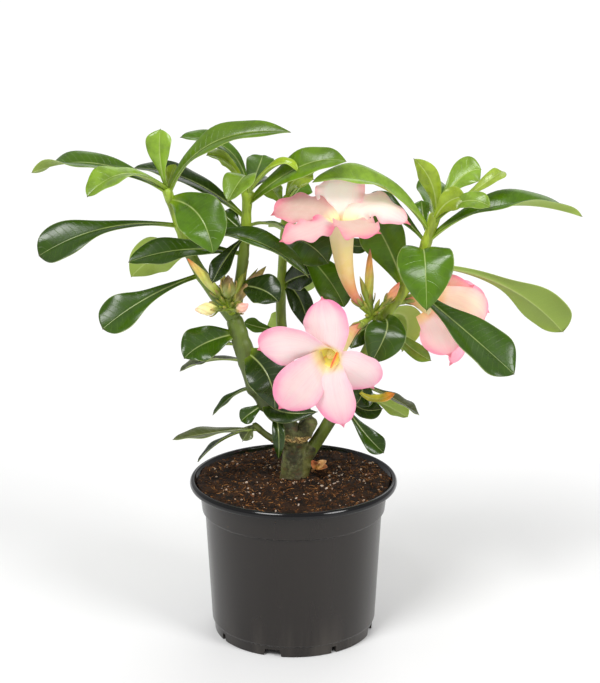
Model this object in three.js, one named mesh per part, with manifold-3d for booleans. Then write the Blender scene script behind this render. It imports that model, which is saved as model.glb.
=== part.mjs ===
// Potted desert rose (Adenium obesum) in flower, in a round nursery pot.
// Millimetres, +Z up. The origin is the centre of the pot's foot, on the surface that it
// stands on. The side that shows most blooms faces -Y.

import * as THREE from "three";
import { mergeVertices } from "three/addons/utils/BufferGeometryUtils.js";
import Module from "manifold-3d";

// Driving sizes
const GAP = 0.3; // left between pieces that touch
const POT_HEIGHT = 100;
const RIM_RADIUS = 65;
const LIP_HEIGHT = 4.7;
const COLLAR_TOP_RADIUS = 59;
const COLLAR_FOOT_RADIUS = 57.2;
const COLLAR_FOOT = 80;
const BODY_TOP_RADIUS = 55.4;
const BODY_FOOT_RADIUS = 51.6;
const FOOT_HEIGHT = 6.5;
const FOOT_RADIUS = 50.4;
const POT_WALL = 1.6;
const PAD_RADIUS = 12; // the flat pad under the middle of the floor
const SOIL_EDGE = 97.8; // the soil's height at the rim
const SOIL_MOUND = 3; // how much higher it is at the trunk
const CAUDEX_FOOT = 78; // how deep the trunk stands in the soil
const CAUDEX_HOLE = 9.9;
const LEAF_THICKNESS = 0.8;
const PETAL_THICKNESS = 0.8;
const LEAF_FOLD = 0.22; // how far a blade's edges rise, against its half width
const LEAF_WAVE = 0.09;

const wasm = await Module();
wasm.setup();

const point = (xyz) => new THREE.Vector3(...xyz);

// ---------------------------------------------------------------- shapes

// A closed mesh from points and faces, turned so that its faces point out.
function closedMesh(points, faces) {
  let volume = 0;
  for (const [a, b, c] of faces) {
    volume += points[a].dot(new THREE.Vector3().crossVectors(points[b], points[c]));
  }
  const turned = volume < 0 ? faces.map(([a, b, c]) => [a, c, b]) : faces;
  const geometry = new THREE.BufferGeometry().setFromPoints(points);
  geometry.setIndex(turned.flat());
  return geometry;
}

// A skin over rings of equally many points, closed at both ends.
function loft(rings) {
  const around = rings[0].length;
  const points = rings.flat();
  const faces = [];
  for (let ring = 0; ring < rings.length - 1; ring += 1) {
    for (let side = 0; side < around; side += 1) {
      const a = ring * around + side;
      const b = ring * around + ((side + 1) % around);
      faces.push([a, b, b + around], [a, b + around, a + around]);
    }
  }
  const last = (rings.length - 1) * around;
  for (let side = 1; side < around - 1; side += 1) {
    faces.push([0, side + 1, side], [last, last + side, last + side + 1]);
  }
  return closedMesh(points, faces);
}

// A ring of points round a centre, in the plane of two directions.
function ring(centre, radius, across, over, sides) {
  return Array.from({ length: sides }, (_, side) => {
    const turn = (side / sides) * 2 * Math.PI;
    return centre
      .clone()
      .addScaledVector(across, radius * Math.cos(turn))
      .addScaledVector(over, radius * Math.sin(turn));
  });
}

// Rings square to a curve: each level gives the way along it and the radius there.
function ringsOn(curve, levels, sides) {
  const steps = 40;
  const frames = curve.computeFrenetFrames(steps);
  return levels.map(([way, radius]) => {
    const along = curve.getTangentAt(way);
    const across = frames.normals[Math.round(way * steps)].clone();
    across.addScaledVector(along, -across.dot(along)).normalize();
    const over = new THREE.Vector3().crossVectors(along, across);
    return ring(curve.getPointAt(way), radius, across, over, sides);
  });
}

// A round limb along part of a curve, with its radius given along the way.
function limb(curve, from, to, radiusAt, steps, sides) {
  const levels = Array.from({ length: steps + 1 }, (_, step) => {
    const way = from + ((to - from) * step) / steps;
    return [way, radiusAt(way)];
  });
  return loft(ringsOn(curve, levels, sides));
}

// A thin plate over a grid of points. Both faces are split into the same triangles.
function plate(rows, thickness) {
  const wide = rows[0].length;
  const offset = (row, col) => {
    const before = rows[Math.max(row - 1, 0)][col];
    const after = rows[Math.min(row + 1, rows.length - 1)][col];
    const left = rows[row][Math.max(col - 1, 0)];
    const right = rows[row][Math.min(col + 1, wide - 1)];
    const along = after.clone().sub(before);
    const across = right.clone().sub(left);
    return along.cross(across).normalize().multiplyScalar(thickness / 2);
  };
  const top = rows.map((row, r) => row.map((p, c) => p.clone().add(offset(r, c))));
  const under = rows.map((row, r) => row.map((p, c) => p.clone().sub(offset(r, c))));
  const count = rows.length * wide;
  const faces = [];
  for (let r = 0; r < rows.length - 1; r += 1) {
    for (let c = 0; c < wide - 1; c += 1) {
      const a = r * wide + c;
      const [b, d, e] = [a + 1, a + wide, a + wide + 1];
      const halves = c < (wide - 1) / 2 ? [[a, b, e], [a, e, d]] : [[a, b, d], [b, e, d]];
      for (const [i, j, k] of halves) {
        faces.push([i, j, k], [i + count, k + count, j + count]);
      }
    }
  }
  const edge = [];
  for (let c = 0; c < wide - 1; c += 1) edge.push(c);
  for (let r = 0; r < rows.length - 1; r += 1) edge.push(r * wide + wide - 1);
  for (let c = wide - 1; c > 0; c -= 1) edge.push((rows.length - 1) * wide + c);
  for (let r = rows.length - 1; r > 0; r -= 1) edge.push(r * wide);
  edge.forEach((a, i) => {
    const b = edge[(i + 1) % edge.length];
    faces.push([a, a + count, b + count], [a, b + count, b]);
  });
  return closedMesh([...top.flat(), ...under.flat()], faces);
}

// The arc that starts at one point, passes through a second and ends at a third.
function arc(start, via, tip) {
  const bend = via.clone().multiplyScalar(2).sub(start.clone().add(tip).multiplyScalar(0.5));
  return new THREE.QuadraticBezierCurve3(start, bend, tip);
}

// ---------------------------------------------------------------- solids

function solidOf(geometry) {
  const bare = geometry.clone();
  bare.deleteAttribute("normal");
  bare.deleteAttribute("uv");
  const merged = mergeVertices(bare, 1e-4);
  return new wasm.Manifold(
    new wasm.Mesh({
      numProp: 3,
      vertProperties: new Float32Array(merged.attributes.position.array),
      triVerts: new Uint32Array(merged.index.array),
    }),
  );
}

// The joined pieces as one body: a hollow that joining seals is filled, a scrap is dropped.
function fuse(geometries) {
  const joined = geometries.map(solidOf).reduce((whole, next) => whole.add(next));
  return joined.decompose().sort((a, b) => b.volume() - a.volume())[0];
}

function geometryOf(solid) {
  const mesh = solid.getMesh();
  const geometry = new THREE.BufferGeometry();
  geometry.setAttribute("position", new THREE.BufferAttribute(mesh.vertProperties, 3));
  geometry.setIndex(new THREE.BufferAttribute(mesh.triVerts, 1));
  return geometry;
}

const plant = new THREE.Group();

function place(name, geometry, colour, roughness) {
  const material = new THREE.MeshStandardMaterial({ color: colour, roughness, metalness: 0 });
  const piece = new THREE.Mesh(geometry, material);
  piece.name = name;
  plant.add(piece);
}

// ---------------------------------------------------------------- pot

const POT_SIDES = 40;

function potShell() {
  const rimTop = POT_HEIGHT;
  const lipFoot = POT_HEIGHT - LIP_HEIGHT;
  const profile = [
    [0, 0],
    [PAD_RADIUS, 0],
    [PAD_RADIUS + 3, 3.4],
    [FOOT_RADIUS - 4, 3.4],
    [FOOT_RADIUS - 2.6, 0],
    [FOOT_RADIUS - 0.4, 0],
    [FOOT_RADIUS, FOOT_HEIGHT],
    [BODY_FOOT_RADIUS, FOOT_HEIGHT + 1],
    [BODY_TOP_RADIUS, COLLAR_FOOT - 1],
    [COLLAR_FOOT_RADIUS, COLLAR_FOOT],
    [COLLAR_TOP_RADIUS, lipFoot],
    [RIM_RADIUS - 0.6, lipFoot + 0.4],
    [RIM_RADIUS, rimTop - 2.2],
    [RIM_RADIUS - 1.2, rimTop],
    [RIM_RADIUS - 2.8, rimTop],
    [RIM_RADIUS - 3.6, rimTop - 1.4],
    [COLLAR_TOP_RADIUS - POT_WALL, lipFoot - 1],
    [COLLAR_FOOT_RADIUS - POT_WALL, COLLAR_FOOT + 0.6],
    [BODY_TOP_RADIUS - POT_WALL, COLLAR_FOOT - 1],
    [BODY_FOOT_RADIUS - POT_WALL, FOOT_HEIGHT],
    [0, FOOT_HEIGHT],
  ].map(([r, z]) => new THREE.Vector2(r, z));
  return new THREE.LatheGeometry(profile, POT_SIDES).rotateX(Math.PI / 2);
}

// The foot's rim has eight notches, wide and narrow by turns.
const NOTCH_HEIGHT = 4.4;

function footNotch(width, degrees) {
  const taper = 0.8;
  const outline = new THREE.Shape([
    new THREE.Vector2(-width / 2, -1),
    new THREE.Vector2(width / 2, -1),
    new THREE.Vector2((taper * width) / 2, NOTCH_HEIGHT),
    new THREE.Vector2((-taper * width) / 2, NOTCH_HEIGHT),
  ]);
  const notch = new THREE.ExtrudeGeometry(outline, { depth: 8, bevelEnabled: false });
  notch.rotateX(Math.PI / 2).translate(0, -(FOOT_RADIUS - 5), 0);
  return notch.rotateZ(THREE.MathUtils.degToRad(degrees));
}

function pot() {
  let solid = solidOf(potShell());
  for (let quarter = 0; quarter < 4; quarter += 1) {
    solid = solid.subtract(solidOf(footNotch(11.6, quarter * 90 - 15)));
    solid = solid.subtract(solidOf(footNotch(3.8, quarter * 90 + 30)));
  }
  place("pot", geometryOf(solid), 0x3c3a38, 0.4);
}

// ---------------------------------------------------------------- soil

const SOIL_SIDES = 28;

// The surface rises towards the trunk, and is lumpy by a formula.
function soilHeight(x, y) {
  const lumps = Math.sin(x * 0.31 + 1) * Math.cos(y * 0.27) + Math.sin(x * 0.13 - y * 0.19);
  return SOIL_EDGE + SOIL_MOUND * (1 - (x * x + y * y) / RIM_RADIUS ** 2) + 0.45 * lumps;
}

function soil() {
  const inside = POT_WALL + 0.5;
  const level = (radius, height) =>
    Array.from({ length: SOIL_SIDES }, (_, side) => {
      const turn = (side / SOIL_SIDES) * 2 * Math.PI;
      const x = radius * Math.cos(turn);
      const y = radius * Math.sin(turn);
      return new THREE.Vector3(x, y, height ?? soilHeight(x, y));
    });
  const rings = [
    level(CAUDEX_HOLE, CAUDEX_FOOT - GAP),
    level(CAUDEX_HOLE),
    level(20),
    level(31),
    level(42),
    level(52),
    level(COLLAR_TOP_RADIUS),
    level(COLLAR_TOP_RADIUS - inside - 0.4, POT_HEIGHT - LIP_HEIGHT - 1.6),
    level(COLLAR_FOOT_RADIUS - inside, COLLAR_FOOT + 1),
    level(BODY_TOP_RADIUS - inside, COLLAR_FOOT - 1.4),
    level(BODY_FOOT_RADIUS - inside, FOOT_HEIGHT + GAP),
  ];
  place("soil", loft(rings), 0x2e211b, 0.95);
}

// ---------------------------------------------------------------- stems

// Each stem's middle line from its root, and its radius at root and tip.
const STEMS = {
  main: {
    line: [[0, 0, 125], [-4, -2, 135], [-13, -5, 147], [-23, -6, 162], [-31, -4, 187], [-37, -2, 206]],
    radii: [6.2, 5.2],
  },
  left: {
    line: [[-36, -2, 203], [-49, 0, 220], [-57, 4, 231], [-64, 6, 245], [-69, 4, 260], [-73, 2, 273],
      [-76, 0, 284]],
    radii: [4.6, 2.3],
  },
  middle: {
    line: [[-36, -1, 205], [-33, 0, 221], [-31, 2, 236], [-29, 2, 254], [-28, 2, 270], [-27, 0, 283]],
    radii: [3.8, 2.6],
  },
  back: {
    line: [[4, 4, 125], [8, 12, 133], [2, 30, 147], [-6, 40, 174], [-8, 42, 193], [-7, 40, 226],
      [-5, 36, 253], [-4, 32, 273]],
    radii: [4.2, 2.3],
  },
  right: {
    line: [[5, 2, 108], [15, 0, 124], [23, -4, 139], [39, -5, 170], [55, -5, 204], [68, -2, 222],
      [77, 0, 241], [82, 0, 255], [86, 0, 269]],
    radii: [4.2, 2.7],
  },
  sprig: {
    line: [[-4, -2, 121], [-16, -6, 129], [-25, -9, 138]],
    radii: [2.6, 1.6],
  },
};
const STEM_SIDES = 7;

function stemCurve(name) {
  return new THREE.CatmullRomCurve3(STEMS[name].line.map(point));
}

function stemLimb(name, from, to, steps) {
  const [root, tip] = STEMS[name].radii;
  const radiusAt = (way) => root + (tip - root) * way;
  return limb(stemCurve(name), from, to, radiusAt, steps, STEM_SIDES);
}

// A piece of stem starts a hair above the cut face of the one that carries it.
function afterCut(name, cut) {
  return cut + GAP / stemCurve(name).getLength();
}

// ---------------------------------------------------------------- trunk

const TRUNK_CUTS = { main: 0.12, back: 0.1, right: 0.08, sprig: 0.4 };
const FORK_CUTS = { left: 0.13, middle: 0.14 };

function caudex() {
  const across = new THREE.Vector3(1, 0, 0);
  const over = new THREE.Vector3(0, 1, 0);
  const rings = [
    [0, 0, CAUDEX_FOOT, 8.6],
    [0, 0, 92, 9.2],
    [0, 0, 98, 8.9],
    [0, 0, 106, 8],
    [0, 0, 114, 7],
    [1, 0, 121, 6.3],
    [2, 0, 124, 6.9],
    [2, 0, 126, 6.4],
    [2, 0, 130, 6.8],
    [1, 0, 134, 5],
  ].map(([x, y, z, radius]) => ring(point([x, y, z]), radius, across, over, 12));
  return loft(rings);
}

// A short stub along a straight line.
function stub(from, to, fromRadius, toRadius, sides = 7) {
  const line = new THREE.LineCurve3(point(from), point(to));
  return limb(line, 0, 1, (way) => fromRadius + (toRadius - fromRadius) * way, 2, sides);
}

function trunk() {
  const solid = fuse([
    caudex(),
    ...Object.entries(TRUNK_CUTS).map(([name, cut]) => stemLimb(name, 0, cut, 3)),
    stub([3, -1, 126], [12, -6, 140], 6, 4.6), // the stump of a cut branch
    stub([4, 0, 98.5], [9, -1, 109], 4.4, 3), // a stub at the foot
  ]);
  place("trunk", geometryOf(solid), 0x6f7358, 0.8);
}

// ---------------------------------------------------------------- leaves

const LEAF_STATIONS = [0, 0.3, 0.52, 0.72, 0.89, 1];
const SMALL_LEAF_STATIONS = [0, 0.35, 0.6, 0.84, 1];
const SMALL_LEAF = 19; // a leaf narrower than this has fewer stations

// The half width along a leaf, as a part of the widest: a narrow foot and a round tip.
function leafOutline(way, widest) {
  const power = Math.log(0.5) / Math.log(widest);
  return 0.1 * (1 - way) + 0.03 + 0.93 * Math.sin(Math.PI * way ** power) ** 0.85;
}

function leaf(base, via, tip, width, face, widest = 0.75) {
  const rib = arc(base, via, tip);
  const stations = width < SMALL_LEAF ? SMALL_LEAF_STATIONS : LEAF_STATIONS;
  const rows = stations.map((way, station) => {
    const middle = rib.getPoint(way);
    const along = rib.getTangent(way);
    const up = face.clone().addScaledVector(along, -face.dot(along)).normalize();
    const side = new THREE.Vector3().crossVectors(along, up);
    const half = (width / 2) * leafOutline(Math.min(way, 0.999), widest);
    const wave = LEAF_WAVE * half * (station % 2 ? 1 : -1);
    const edge = (hand) =>
      middle
        .clone()
        .addScaledVector(side, hand * half)
        .addScaledVector(up, LEAF_FOLD * half + hand * wave);
    return [edge(-1), middle, edge(1)];
  });
  return plate(rows, LEAF_THICKNESS);
}

// One row for each leaf: where on the stem it grows, a point half way along its rib, its
// tip, its width, the way that its upper face looks, and where along it it is widest.
const LEAVES = {
  left: [
    [0.96, [-116, -8, 300], [-154, -14, 296], 22, [0, -0.6, 1], 0.7],
    [1, [-99, -18, 296], [-120, -30, 285], 23, [-0.3, -0.5, 1]],
    [1, [-79, -4, 302], [-79, 0, 319], 17.5, [-0.4, -1, 0.2], 0.78],
    [0.72, [-112, -8, 261], [-152, -12, 245], 27, [0, -0.6, 1], 0.84],
    [0.53, [-83, 16, 238], [-100, 20, 224], 26, [0, 1, 0.3], 0.6],
    [0.36, [-87, -6, 218], [-115, -14, 200], 27, [-0.2, -0.8, 0.8], 0.84],
    [0.95, [-48, -6, 312], [-2, -14, 320], 21, [-0.3, -0.5, 1], 0.62],
    [0.91, [-56, -24, 273], [-47, -34, 252], 29, [0, -1, 0.5], 0.6],
    [0.63, [-26, -12, 255], [9, -16, 233], 18, [0, -0.5, 1], 0.62],
    [0.98, [-74, 6, 289], [-71, 10, 296], 9, [-0.5, -1, 0]],
    [0.92, [-64, 30, 264], [-56, 55, 247], 24, [0, -0.3, 1]],
  ],
  middle: [
    [0.76, [-63, 18, 285], [-96, 14, 293], 18, [0, -0.4, 1], 0.65],
    [0.48, [-64, -9, 248], [-98, -16, 242], 20, [0, -0.7, 1], 0.72],
    [0.96, [-39, 14, 304], [-67, 8, 313], 16, [0.2, -0.4, 1]],
    [0.91, [-37, 18, 293], [-52, 14, 301], 14, [0.2, -0.5, 1]],
    [0.94, [-28, -14, 294], [-38, -28, 282], 20, [-0.3, -0.7, 1]],
    [0.87, [4, -12, 299], [31, -16, 303], 21, [-0.1, -0.7, 0.9], 0.6],
    [0.98, [-9, -10, 300], [3, -14, 296], 8, [0, -0.4, 1], 0.6],
    [0.97, [-21, 24, 292], [-19, 34, 297], 17, [0, -1, 0.8], 0.6],
    [0.7, [-15, 0, 262], [3, -8, 256], 14, [0, 0.2, 1]],
    [0.65, [-37, 8, 261], [-43, 12, 266], 16, [0, -1, 0.5]],
    [0.62, [-39, -12, 245], [-48, -22, 231], 13, [-0.4, -1, 0.3]],
    [0.23, [-19, -12, 224], [-9, -18, 218], 21, [0, -1, 0.7], 0.6],
    [0.97, [-19, 24, 284], [-12, 48, 278], 22, [0, -0.3, 1]],
  ],
  back: [
    [0.98, [11, 26, 289], [24, 22, 295], 18, [0, -0.4, 1]],
    [0.98, [1, 26, 283], [12, 20, 285], 16, [-0.2, -0.8, 0.6]],
    [0.94, [-11, 26, 275], [-15, 20, 282], 14, [-0.3, -1, 0.3]],
    [0.94, [2, 44, 272], [8, 50, 278], 16, [0, -1, 0.2]],
    [0.63, [4, 32, 221], [16, 24, 224], 20, [0, -1, 0.6], 0.6],
    [0.64, [3, 36, 207], [10, 26, 187], 15, [-0.2, -1, 0.2], 0.6],
    [0.82, [8, 8, 248], [21, 2, 237], 30, [0, -1, 0.6], 0.62],
    [0.84, [18, 16, 228], [31, 4, 209], 22, [0.1, -1, 0.4], 0.72],
    [0.88, [32, 26, 243], [43.5, 24, 244], 10, [0, -1, 0.5], 0.7],
    [0.42, [-11, 54, 179], [-17, 62, 178], 25, [0, 1, 0], 0.55],
    [0.45, [-20, 34, 187], [-31, 28, 192], 10, [0, -0.9, 0.8]],
    [0.89, [-5, 62, 246], [-1, 86, 236], 26, [0, 0.2, 1]],
    [0.63, [-1, 62, 211], [4, 84, 195], 26, [0, 0.2, 1]],
  ],
  main: [
    [0.86, [-53, -10, 190], [-66, -16, 182], 24, [-0.2, -1, 0.7], 0.62],
    [0.78, [-44, 0, 186], [-53, 2, 180], 12, [0, 0.2, 1]],
    [0.66, [-48, -2, 177], [-69, -6, 171], 20, [0, 0.1, 1]],
    [0.73, [-16, -22, 174], [-11, -28, 154], 26, [0.1, -1, 0.3], 0.55],
    [0.47, [-35, -8, 157], [-49, -12, 145], 10, [-0.3, -0.1, 1]],
    [0.34, [-25, -10, 146], [-32, -10, 140], 11, [-0.2, -1, 0.6]],
    [0.35, [-6, -20, 149], [14, -26, 151], 15, [0, -1, 0.6], 0.45],
    [0.26, [-9, -20, 136], [-9, -20, 119], 8, [-0.2, -1, 0.2], 0.55],
    [0.48, [-20, 22, 158], [-16, 50, 142], 22, [0, 0.2, 1]],
  ],
  sprig: [
    [0.79, [-44, -16, 135], [-73, -22, 132], 15, [0, -0.1, 1]],
    [0.94, [-27, -10, 134], [-31, -12, 128], 10, [-0.5, -1, 0.2]],
    [0.85, [-42, -4, 127], [-59, -8, 113], 11, [-0.3, 0.1, 1]],
  ],
  right: [
    [0.37, [42, -14, 161], [38, -20, 154], 16, [0.2, -1, 0.3]],
    [0.35, [47, -24, 159], [61, -30, 164], 8, [0, -0.55, 1]],
    [0.36, [60, -10, 155], [77, -10, 144], 16, [0.2, -0.1, 1]],
    [0.34, [57, 2, 147], [71, 4, 138], 16, [0.1, 1, 0.8]],
    [0.31, [41, -16, 150], [54, -20, 151], 14, [0, -0.9, 0.9]],
    [0.28, [42, -8, 134], [55.5, -12, 120], 14, [0.4, -1, 0.5], 0.8],
    [0.85, [78, -24, 247], [79, -36, 218], 34, [0, -1, 0.7], 0.62],
    [0.74, [101, -22, 203], [132, -32, 177], 33, [0.4, -0.8, 0.8], 0.76],
    [0.81, [127, 15, 221], [168, 22, 188], 32, [0.4, 1, 0.5], 0.86],
    [0.6, [56, -20, 200], [47, -22, 181], 25, [0, -1, 0.3], 0.6],
    [0.62, [70, 16, 198], [68, 20, 176], 20, [0.2, 1, 0.1], 0.6],
    [0.6, [68.5, 0, 187], [84, -4, 177], 11, [0.3, -1, 0.6]],
    [0.57, [41, -12, 198], [35, -18, 189], 14, [0, -1, 0.3]],
    [0.93, [51, -8, 287], [12, -18, 291], 22, [0, -0.35, 1], 0.65],
    [0.89, [63, 6, 267], [46, 6, 278], 15, [-0.2, -0.7, 1]],
    [0.91, [79, 10, 265], [78, 14, 273], 12, [-0.5, -1, 0.2]],
    [0.72, [56, 10, 249], [44, 16, 265], 28, [-0.3, -1, 0.4], 0.6],
    [0.99, [83, 0, 286], [72, -4, 302], 13, [0.3, -1, 0.2], 0.65],
    [0.99, [100, 13, 286], [114, 20, 291], 20, [-0.2, -1, 0.7]],
    [0.97, [113, -7, 287], [125, -2, 294], 11, [0.1, -0.5, 1]],
    [0.96, [91, -9, 276], [102, -12, 281], 15, [0, -1, 0.5]],
    [0.95, [100, -14, 278], [116, -22, 277], 13, [0, -0.8, 0.8]],
    [0.89, [121, -8, 274], [171, -16, 270], 25, [0, -0.4, 1], 0.7],
    [0.85, [82, 26, 232], [85, 52, 211], 26, [0, 0.2, 1]],
    [0.98, [84, 22, 273], [86, 42, 281], 18, [0, -0.5, 1]],
    [0.54, [57, 24, 190], [57, 50, 171], 26, [0, 0.2, 1]],
    [0.33, [25, 26, 159], [16, 54, 142], 28, [0, 0.2, 1]],
  ],
};

function leavesOf(name) {
  const curve = stemCurve(name);
  return LEAVES[name].map(([at, via, tip, width, face, widest]) =>
    leaf(curve.getPointAt(at), point(via), point(tip), width, point(face), widest),
  );
}

// ---------------------------------------------------------------- flower stalks

// Each stalk's line and its radius at both ends. The last end is the seat of a bloom or bud.
const STALK_ROOT_RIGHT = { from: [55, -5, 204], to: [48, -10, 207], radii: [2.4, 2.6] };
const STALKS_RIGHT = {
  bloom_upright: { from: [48, -10, 207], to: [41, -13, 215], radii: [1.6, 2.4] },
  bud_right_long: { from: [48, -10, 207], to: [46.5, -9, 214], radii: [1.5, 1.8] },
  bud_right_peach: { from: [48, -10, 207], to: [56, -11, 216], radii: [1.3, 1.7] },
  bloom_front: { from: [48, -10, 207], to: [40, -20, 204], radii: [1.8, 2.5] },
};
const STALK_RIGHT_BLOOM = {
  bloom_right: { from: [61, -2, 213], to: [68, 1, 214], radii: [1.8, 2.5] },
};
const STALK_ROOT_LEFT = { from: [-37, -2, 207], to: [-39, -10, 212], radii: [2.6, 2.8] };
const STALKS_LEFT = {
  bud_left_long: { from: [-39, -10, 212], to: [-44, -12, 220], radii: [1.4, 1.9] },
  bud_left_fat: { from: [-39, -10, 212], to: [-46, -15, 213], radii: [1.4, 2] },
  bud_left_pink: { from: [-39, -10, 212], to: [-34, -15, 213], radii: [1.3, 1.6] },
  bud_left_dried: { from: [-39, -10, 212], to: [-39, -14, 220], radii: [1.5, 2] },
};
const SEATS = { ...STALKS_RIGHT, ...STALK_RIGHT_BLOOM, ...STALKS_LEFT };

function stalk({ from, to, radii }) {
  return stub(from, to, ...radii, 6);
}

// The curve of what grows on a stalk: it leaves the seat straight, then turns to its tip.
function growth(name, tip, lead) {
  const seat = point(SEATS[name].to);
  const along = seat.clone().sub(point(SEATS[name].from)).normalize();
  const start = seat.clone().addScaledVector(along, GAP);
  const turn = start.clone().addScaledVector(along, lead);
  return new THREE.QuadraticBezierCurve3(start, turn, point(tip));
}

// ---------------------------------------------------------------- leafy stems

const LEAF_GREEN = 0x3f7a2c;

function leafyStem(name, stem, cut, steps, extras = []) {
  const wood = stemLimb(stem, afterCut(stem, cut), 1, steps);
  const solid = fuse([wood, ...leavesOf(stem), ...extras]);
  place(name, geometryOf(solid), LEAF_GREEN, 0.35);
}

// The main stem ends in the roots of the two stems of its fork.
function mainStem() {
  const fork = Object.entries(FORK_CUTS).map(([name, cut]) => stemLimb(name, 0, cut, 2));
  const flowers = [STALK_ROOT_LEFT, ...Object.values(STALKS_LEFT)].map(stalk);
  leafyStem("stem_main", "main", TRUNK_CUTS.main, 8, [...fork, ...flowers]);
}

function stems() {
  mainStem();
  const flowers = [STALK_ROOT_RIGHT, ...Object.values(STALKS_RIGHT)];
  flowers.push(...Object.values(STALK_RIGHT_BLOOM));
  leafyStem("stem_left", "left", FORK_CUTS.left, 7);
  leafyStem("stem_middle", "middle", FORK_CUTS.middle, 6);
  leafyStem("stem_back", "back", TRUNK_CUTS.back, 10);
  leafyStem("stem_right", "right", TRUNK_CUTS.right, 11, flowers.map(stalk));
  leafyStem("sprig", "sprig", TRUNK_CUTS.sprig, 2);
}

// ---------------------------------------------------------------- blooms

const BLOOM_SIDES = 8;
const PETAL_STATIONS = [0, 0.32, 0.6, 0.84, 1];

// The half width along a petal, as a part of the widest: a broad foot and a round end.
function petalOutline(way) {
  return 0.42 * (1 - way) ** 2 + 0.14 + 0.88 * Math.sin(Math.PI * way ** 1.6) ** 0.6;
}

// The tube widens from its seat to a mouth, and is open down to the throat's floor.
function funnel(curve, mouth) {
  const levels = [
    [0, 2.1],
    [0.15, 2.8],
    [0.4, 4.9],
    [0.64, 6.3],
    [0.85, mouth - 1],
    [1, mouth],
    [1, mouth - 1.1],
    [0.82, mouth - 2.4],
    [0.5, 2.8],
  ];
  return loft(ringsOn(curve, levels, BLOOM_SIDES));
}

// A petal springs from the funnel's mouth and faces the way that the bloom does.
function petal(throat, axis, mouth, [via, tip, width, face]) {
  const out = point(via).sub(throat);
  out.addScaledVector(axis, -out.dot(axis)).normalize();
  const base = throat.clone().addScaledVector(out, mouth - 0.9).addScaledVector(axis, -1);
  const rib = arc(base, point(via), point(tip));
  const look = face ? point(face) : axis;
  const rows = PETAL_STATIONS.map((way) => {
    const middle = rib.getPoint(way);
    const along = rib.getTangent(way);
    const up = look.clone().addScaledVector(along, -look.dot(along)).normalize();
    const side = new THREE.Vector3().crossVectors(along, up);
    const half = (width / 2) * petalOutline(Math.min(way, 0.999));
    const edge = (hand, drop) =>
      middle.clone().addScaledVector(side, hand * half).addScaledVector(up, drop * half);
    return [edge(-1, -0.16), middle, edge(1, 0.08)];
  });
  return plate(rows, PETAL_THICKNESS);
}

function bloom(name, { throat, lead, mouth, petals }, colour) {
  const tube = growth(name, throat, lead);
  const axis = tube.getTangentAt(1);
  const parts = petals.map((row) => petal(point(throat), axis, mouth, row));
  place(name, geometryOf(fuse([funnel(tube, mouth), ...parts])), colour, 0.55);
}

// Each petal: a point half way along it, its tip, its width, and the way it looks where
// that isn't along the bloom's own axis.
const BLOOM_FRONT = {
  throat: [20, -56, 193],
  lead: 16,
  mouth: 8,
  petals: [
    [[19, -60, 213], [17, -56, 229], 30],
    [[-1, -60, 202], [-19, -54, 199], 28],
    [[6, -62, 181], [-7, -58, 165], 28],
    [[23, -62, 175], [29, -60, 155], 25],
    [[35, -60, 186], [46, -54, 176], 31],
  ],
};
const BLOOM_UPRIGHT = {
  throat: [29, -15, 270],
  lead: 20,
  mouth: 8.8,
  petals: [
    [[8, -12, 275], [-11, -9, 270], 22, [0, -0.6, 1]],
    [[11, -30, 266], [-6, -36, 260], 22, [0, -0.2, 1]],
    [[28, -7, 281], [27, 0, 292], 29, [0, -1, 0.4]],
    [[48, -12, 276], [67, -16, 267], 23, [0.2, -0.7, 1]],
    [[37, -33, 269], [49, -41, 266], 27, [0.1, -0.45, 1]],
  ],
};
const BLOOM_RIGHT = {
  throat: [88, 2, 208],
  lead: 9,
  mouth: 7.6,
  petals: [
    [[97, 6, 215], [108, 5, 221], 25, [0.3, -1, 0.4]],
    [[103, -3, 210], [115, -7, 203], 28, [0.3, -1, 0.2]],
    [[89, -6, 197], [95, -9, 183], 26, [0.1, -1, 0]],
    [[101, 6, 190], [98, 8, 172], 14, [0.4, -1, 0]],
    [[106, 14, 212], [120, 17, 203], 22, [0.9, -0.6, 0.1]],
  ],
};

function blooms() {
  bloom("bloom_front", BLOOM_FRONT, 0xf4c6cf);
  bloom("bloom_upright", BLOOM_UPRIGHT, 0xf4c6cf);
  bloom("bloom_right", BLOOM_RIGHT, 0xf2b8ae);
}

// ---------------------------------------------------------------- buds

// A bud is a spindle that leaves its seat straight and bends towards its tip.
function bud(name, tip, radius, colour) {
  const [, seatRadius] = SEATS[name].radii;
  const levels = [
    [0, seatRadius],
    [0.25, radius * 0.95],
    [0.5, radius],
    [0.8, radius * 0.6],
    [1, radius * 0.12],
  ];
  place(name, loft(ringsOn(growth(name, tip, 5), levels, 7)), colour, 0.5);
}

function buds() {
  bud("bud_right_long", [46, -12, 249], 2.8, 0xb88a5a);
  bud("bud_right_peach", [64, -10, 228], 2.6, 0xe8a070);
  bud("bud_left_long", [-63, -16, 244], 3, 0xc9b04a);
  bud("bud_left_fat", [-59, -18, 213], 4, 0xe9dda0);
  bud("bud_left_pink", [-27, -19, 217], 3, 0xe6b9a6);
  bud("bud_left_dried", [-39, -17, 234], 4.4, 0x6a7440);
}

// ---------------------------------------------------------------- withered shoot

// A dry twig with three shrivelled leaves, against the stub at the trunk's foot.
function witheredShoot() {
  const twig = stub([11.5, -1.5, 104], [14.5, -4, 107.4], 1, 0.8, 6);
  const rows = [
    [[17, -6.5, 110.6], [20.4, -8, 113], 4.4, [0, -1, 0.6]],
    [[17.4, -5.5, 108.6], [21, -6, 108.4], 4.4, [0, -1, 0.8]],
    [[12.8, -6, 110.4], [11.4, -7, 113], 4, [0, -1, 0.4]],
  ];
  const leaves = rows.map(([via, tip, width, face]) =>
    leaf(point([14.2, -4, 107]), point(via), point(tip), width, point(face)),
  );
  place("shoot_withered", geometryOf(fuse([twig, ...leaves])), 0xc98a3a, 0.8);
}

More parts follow.
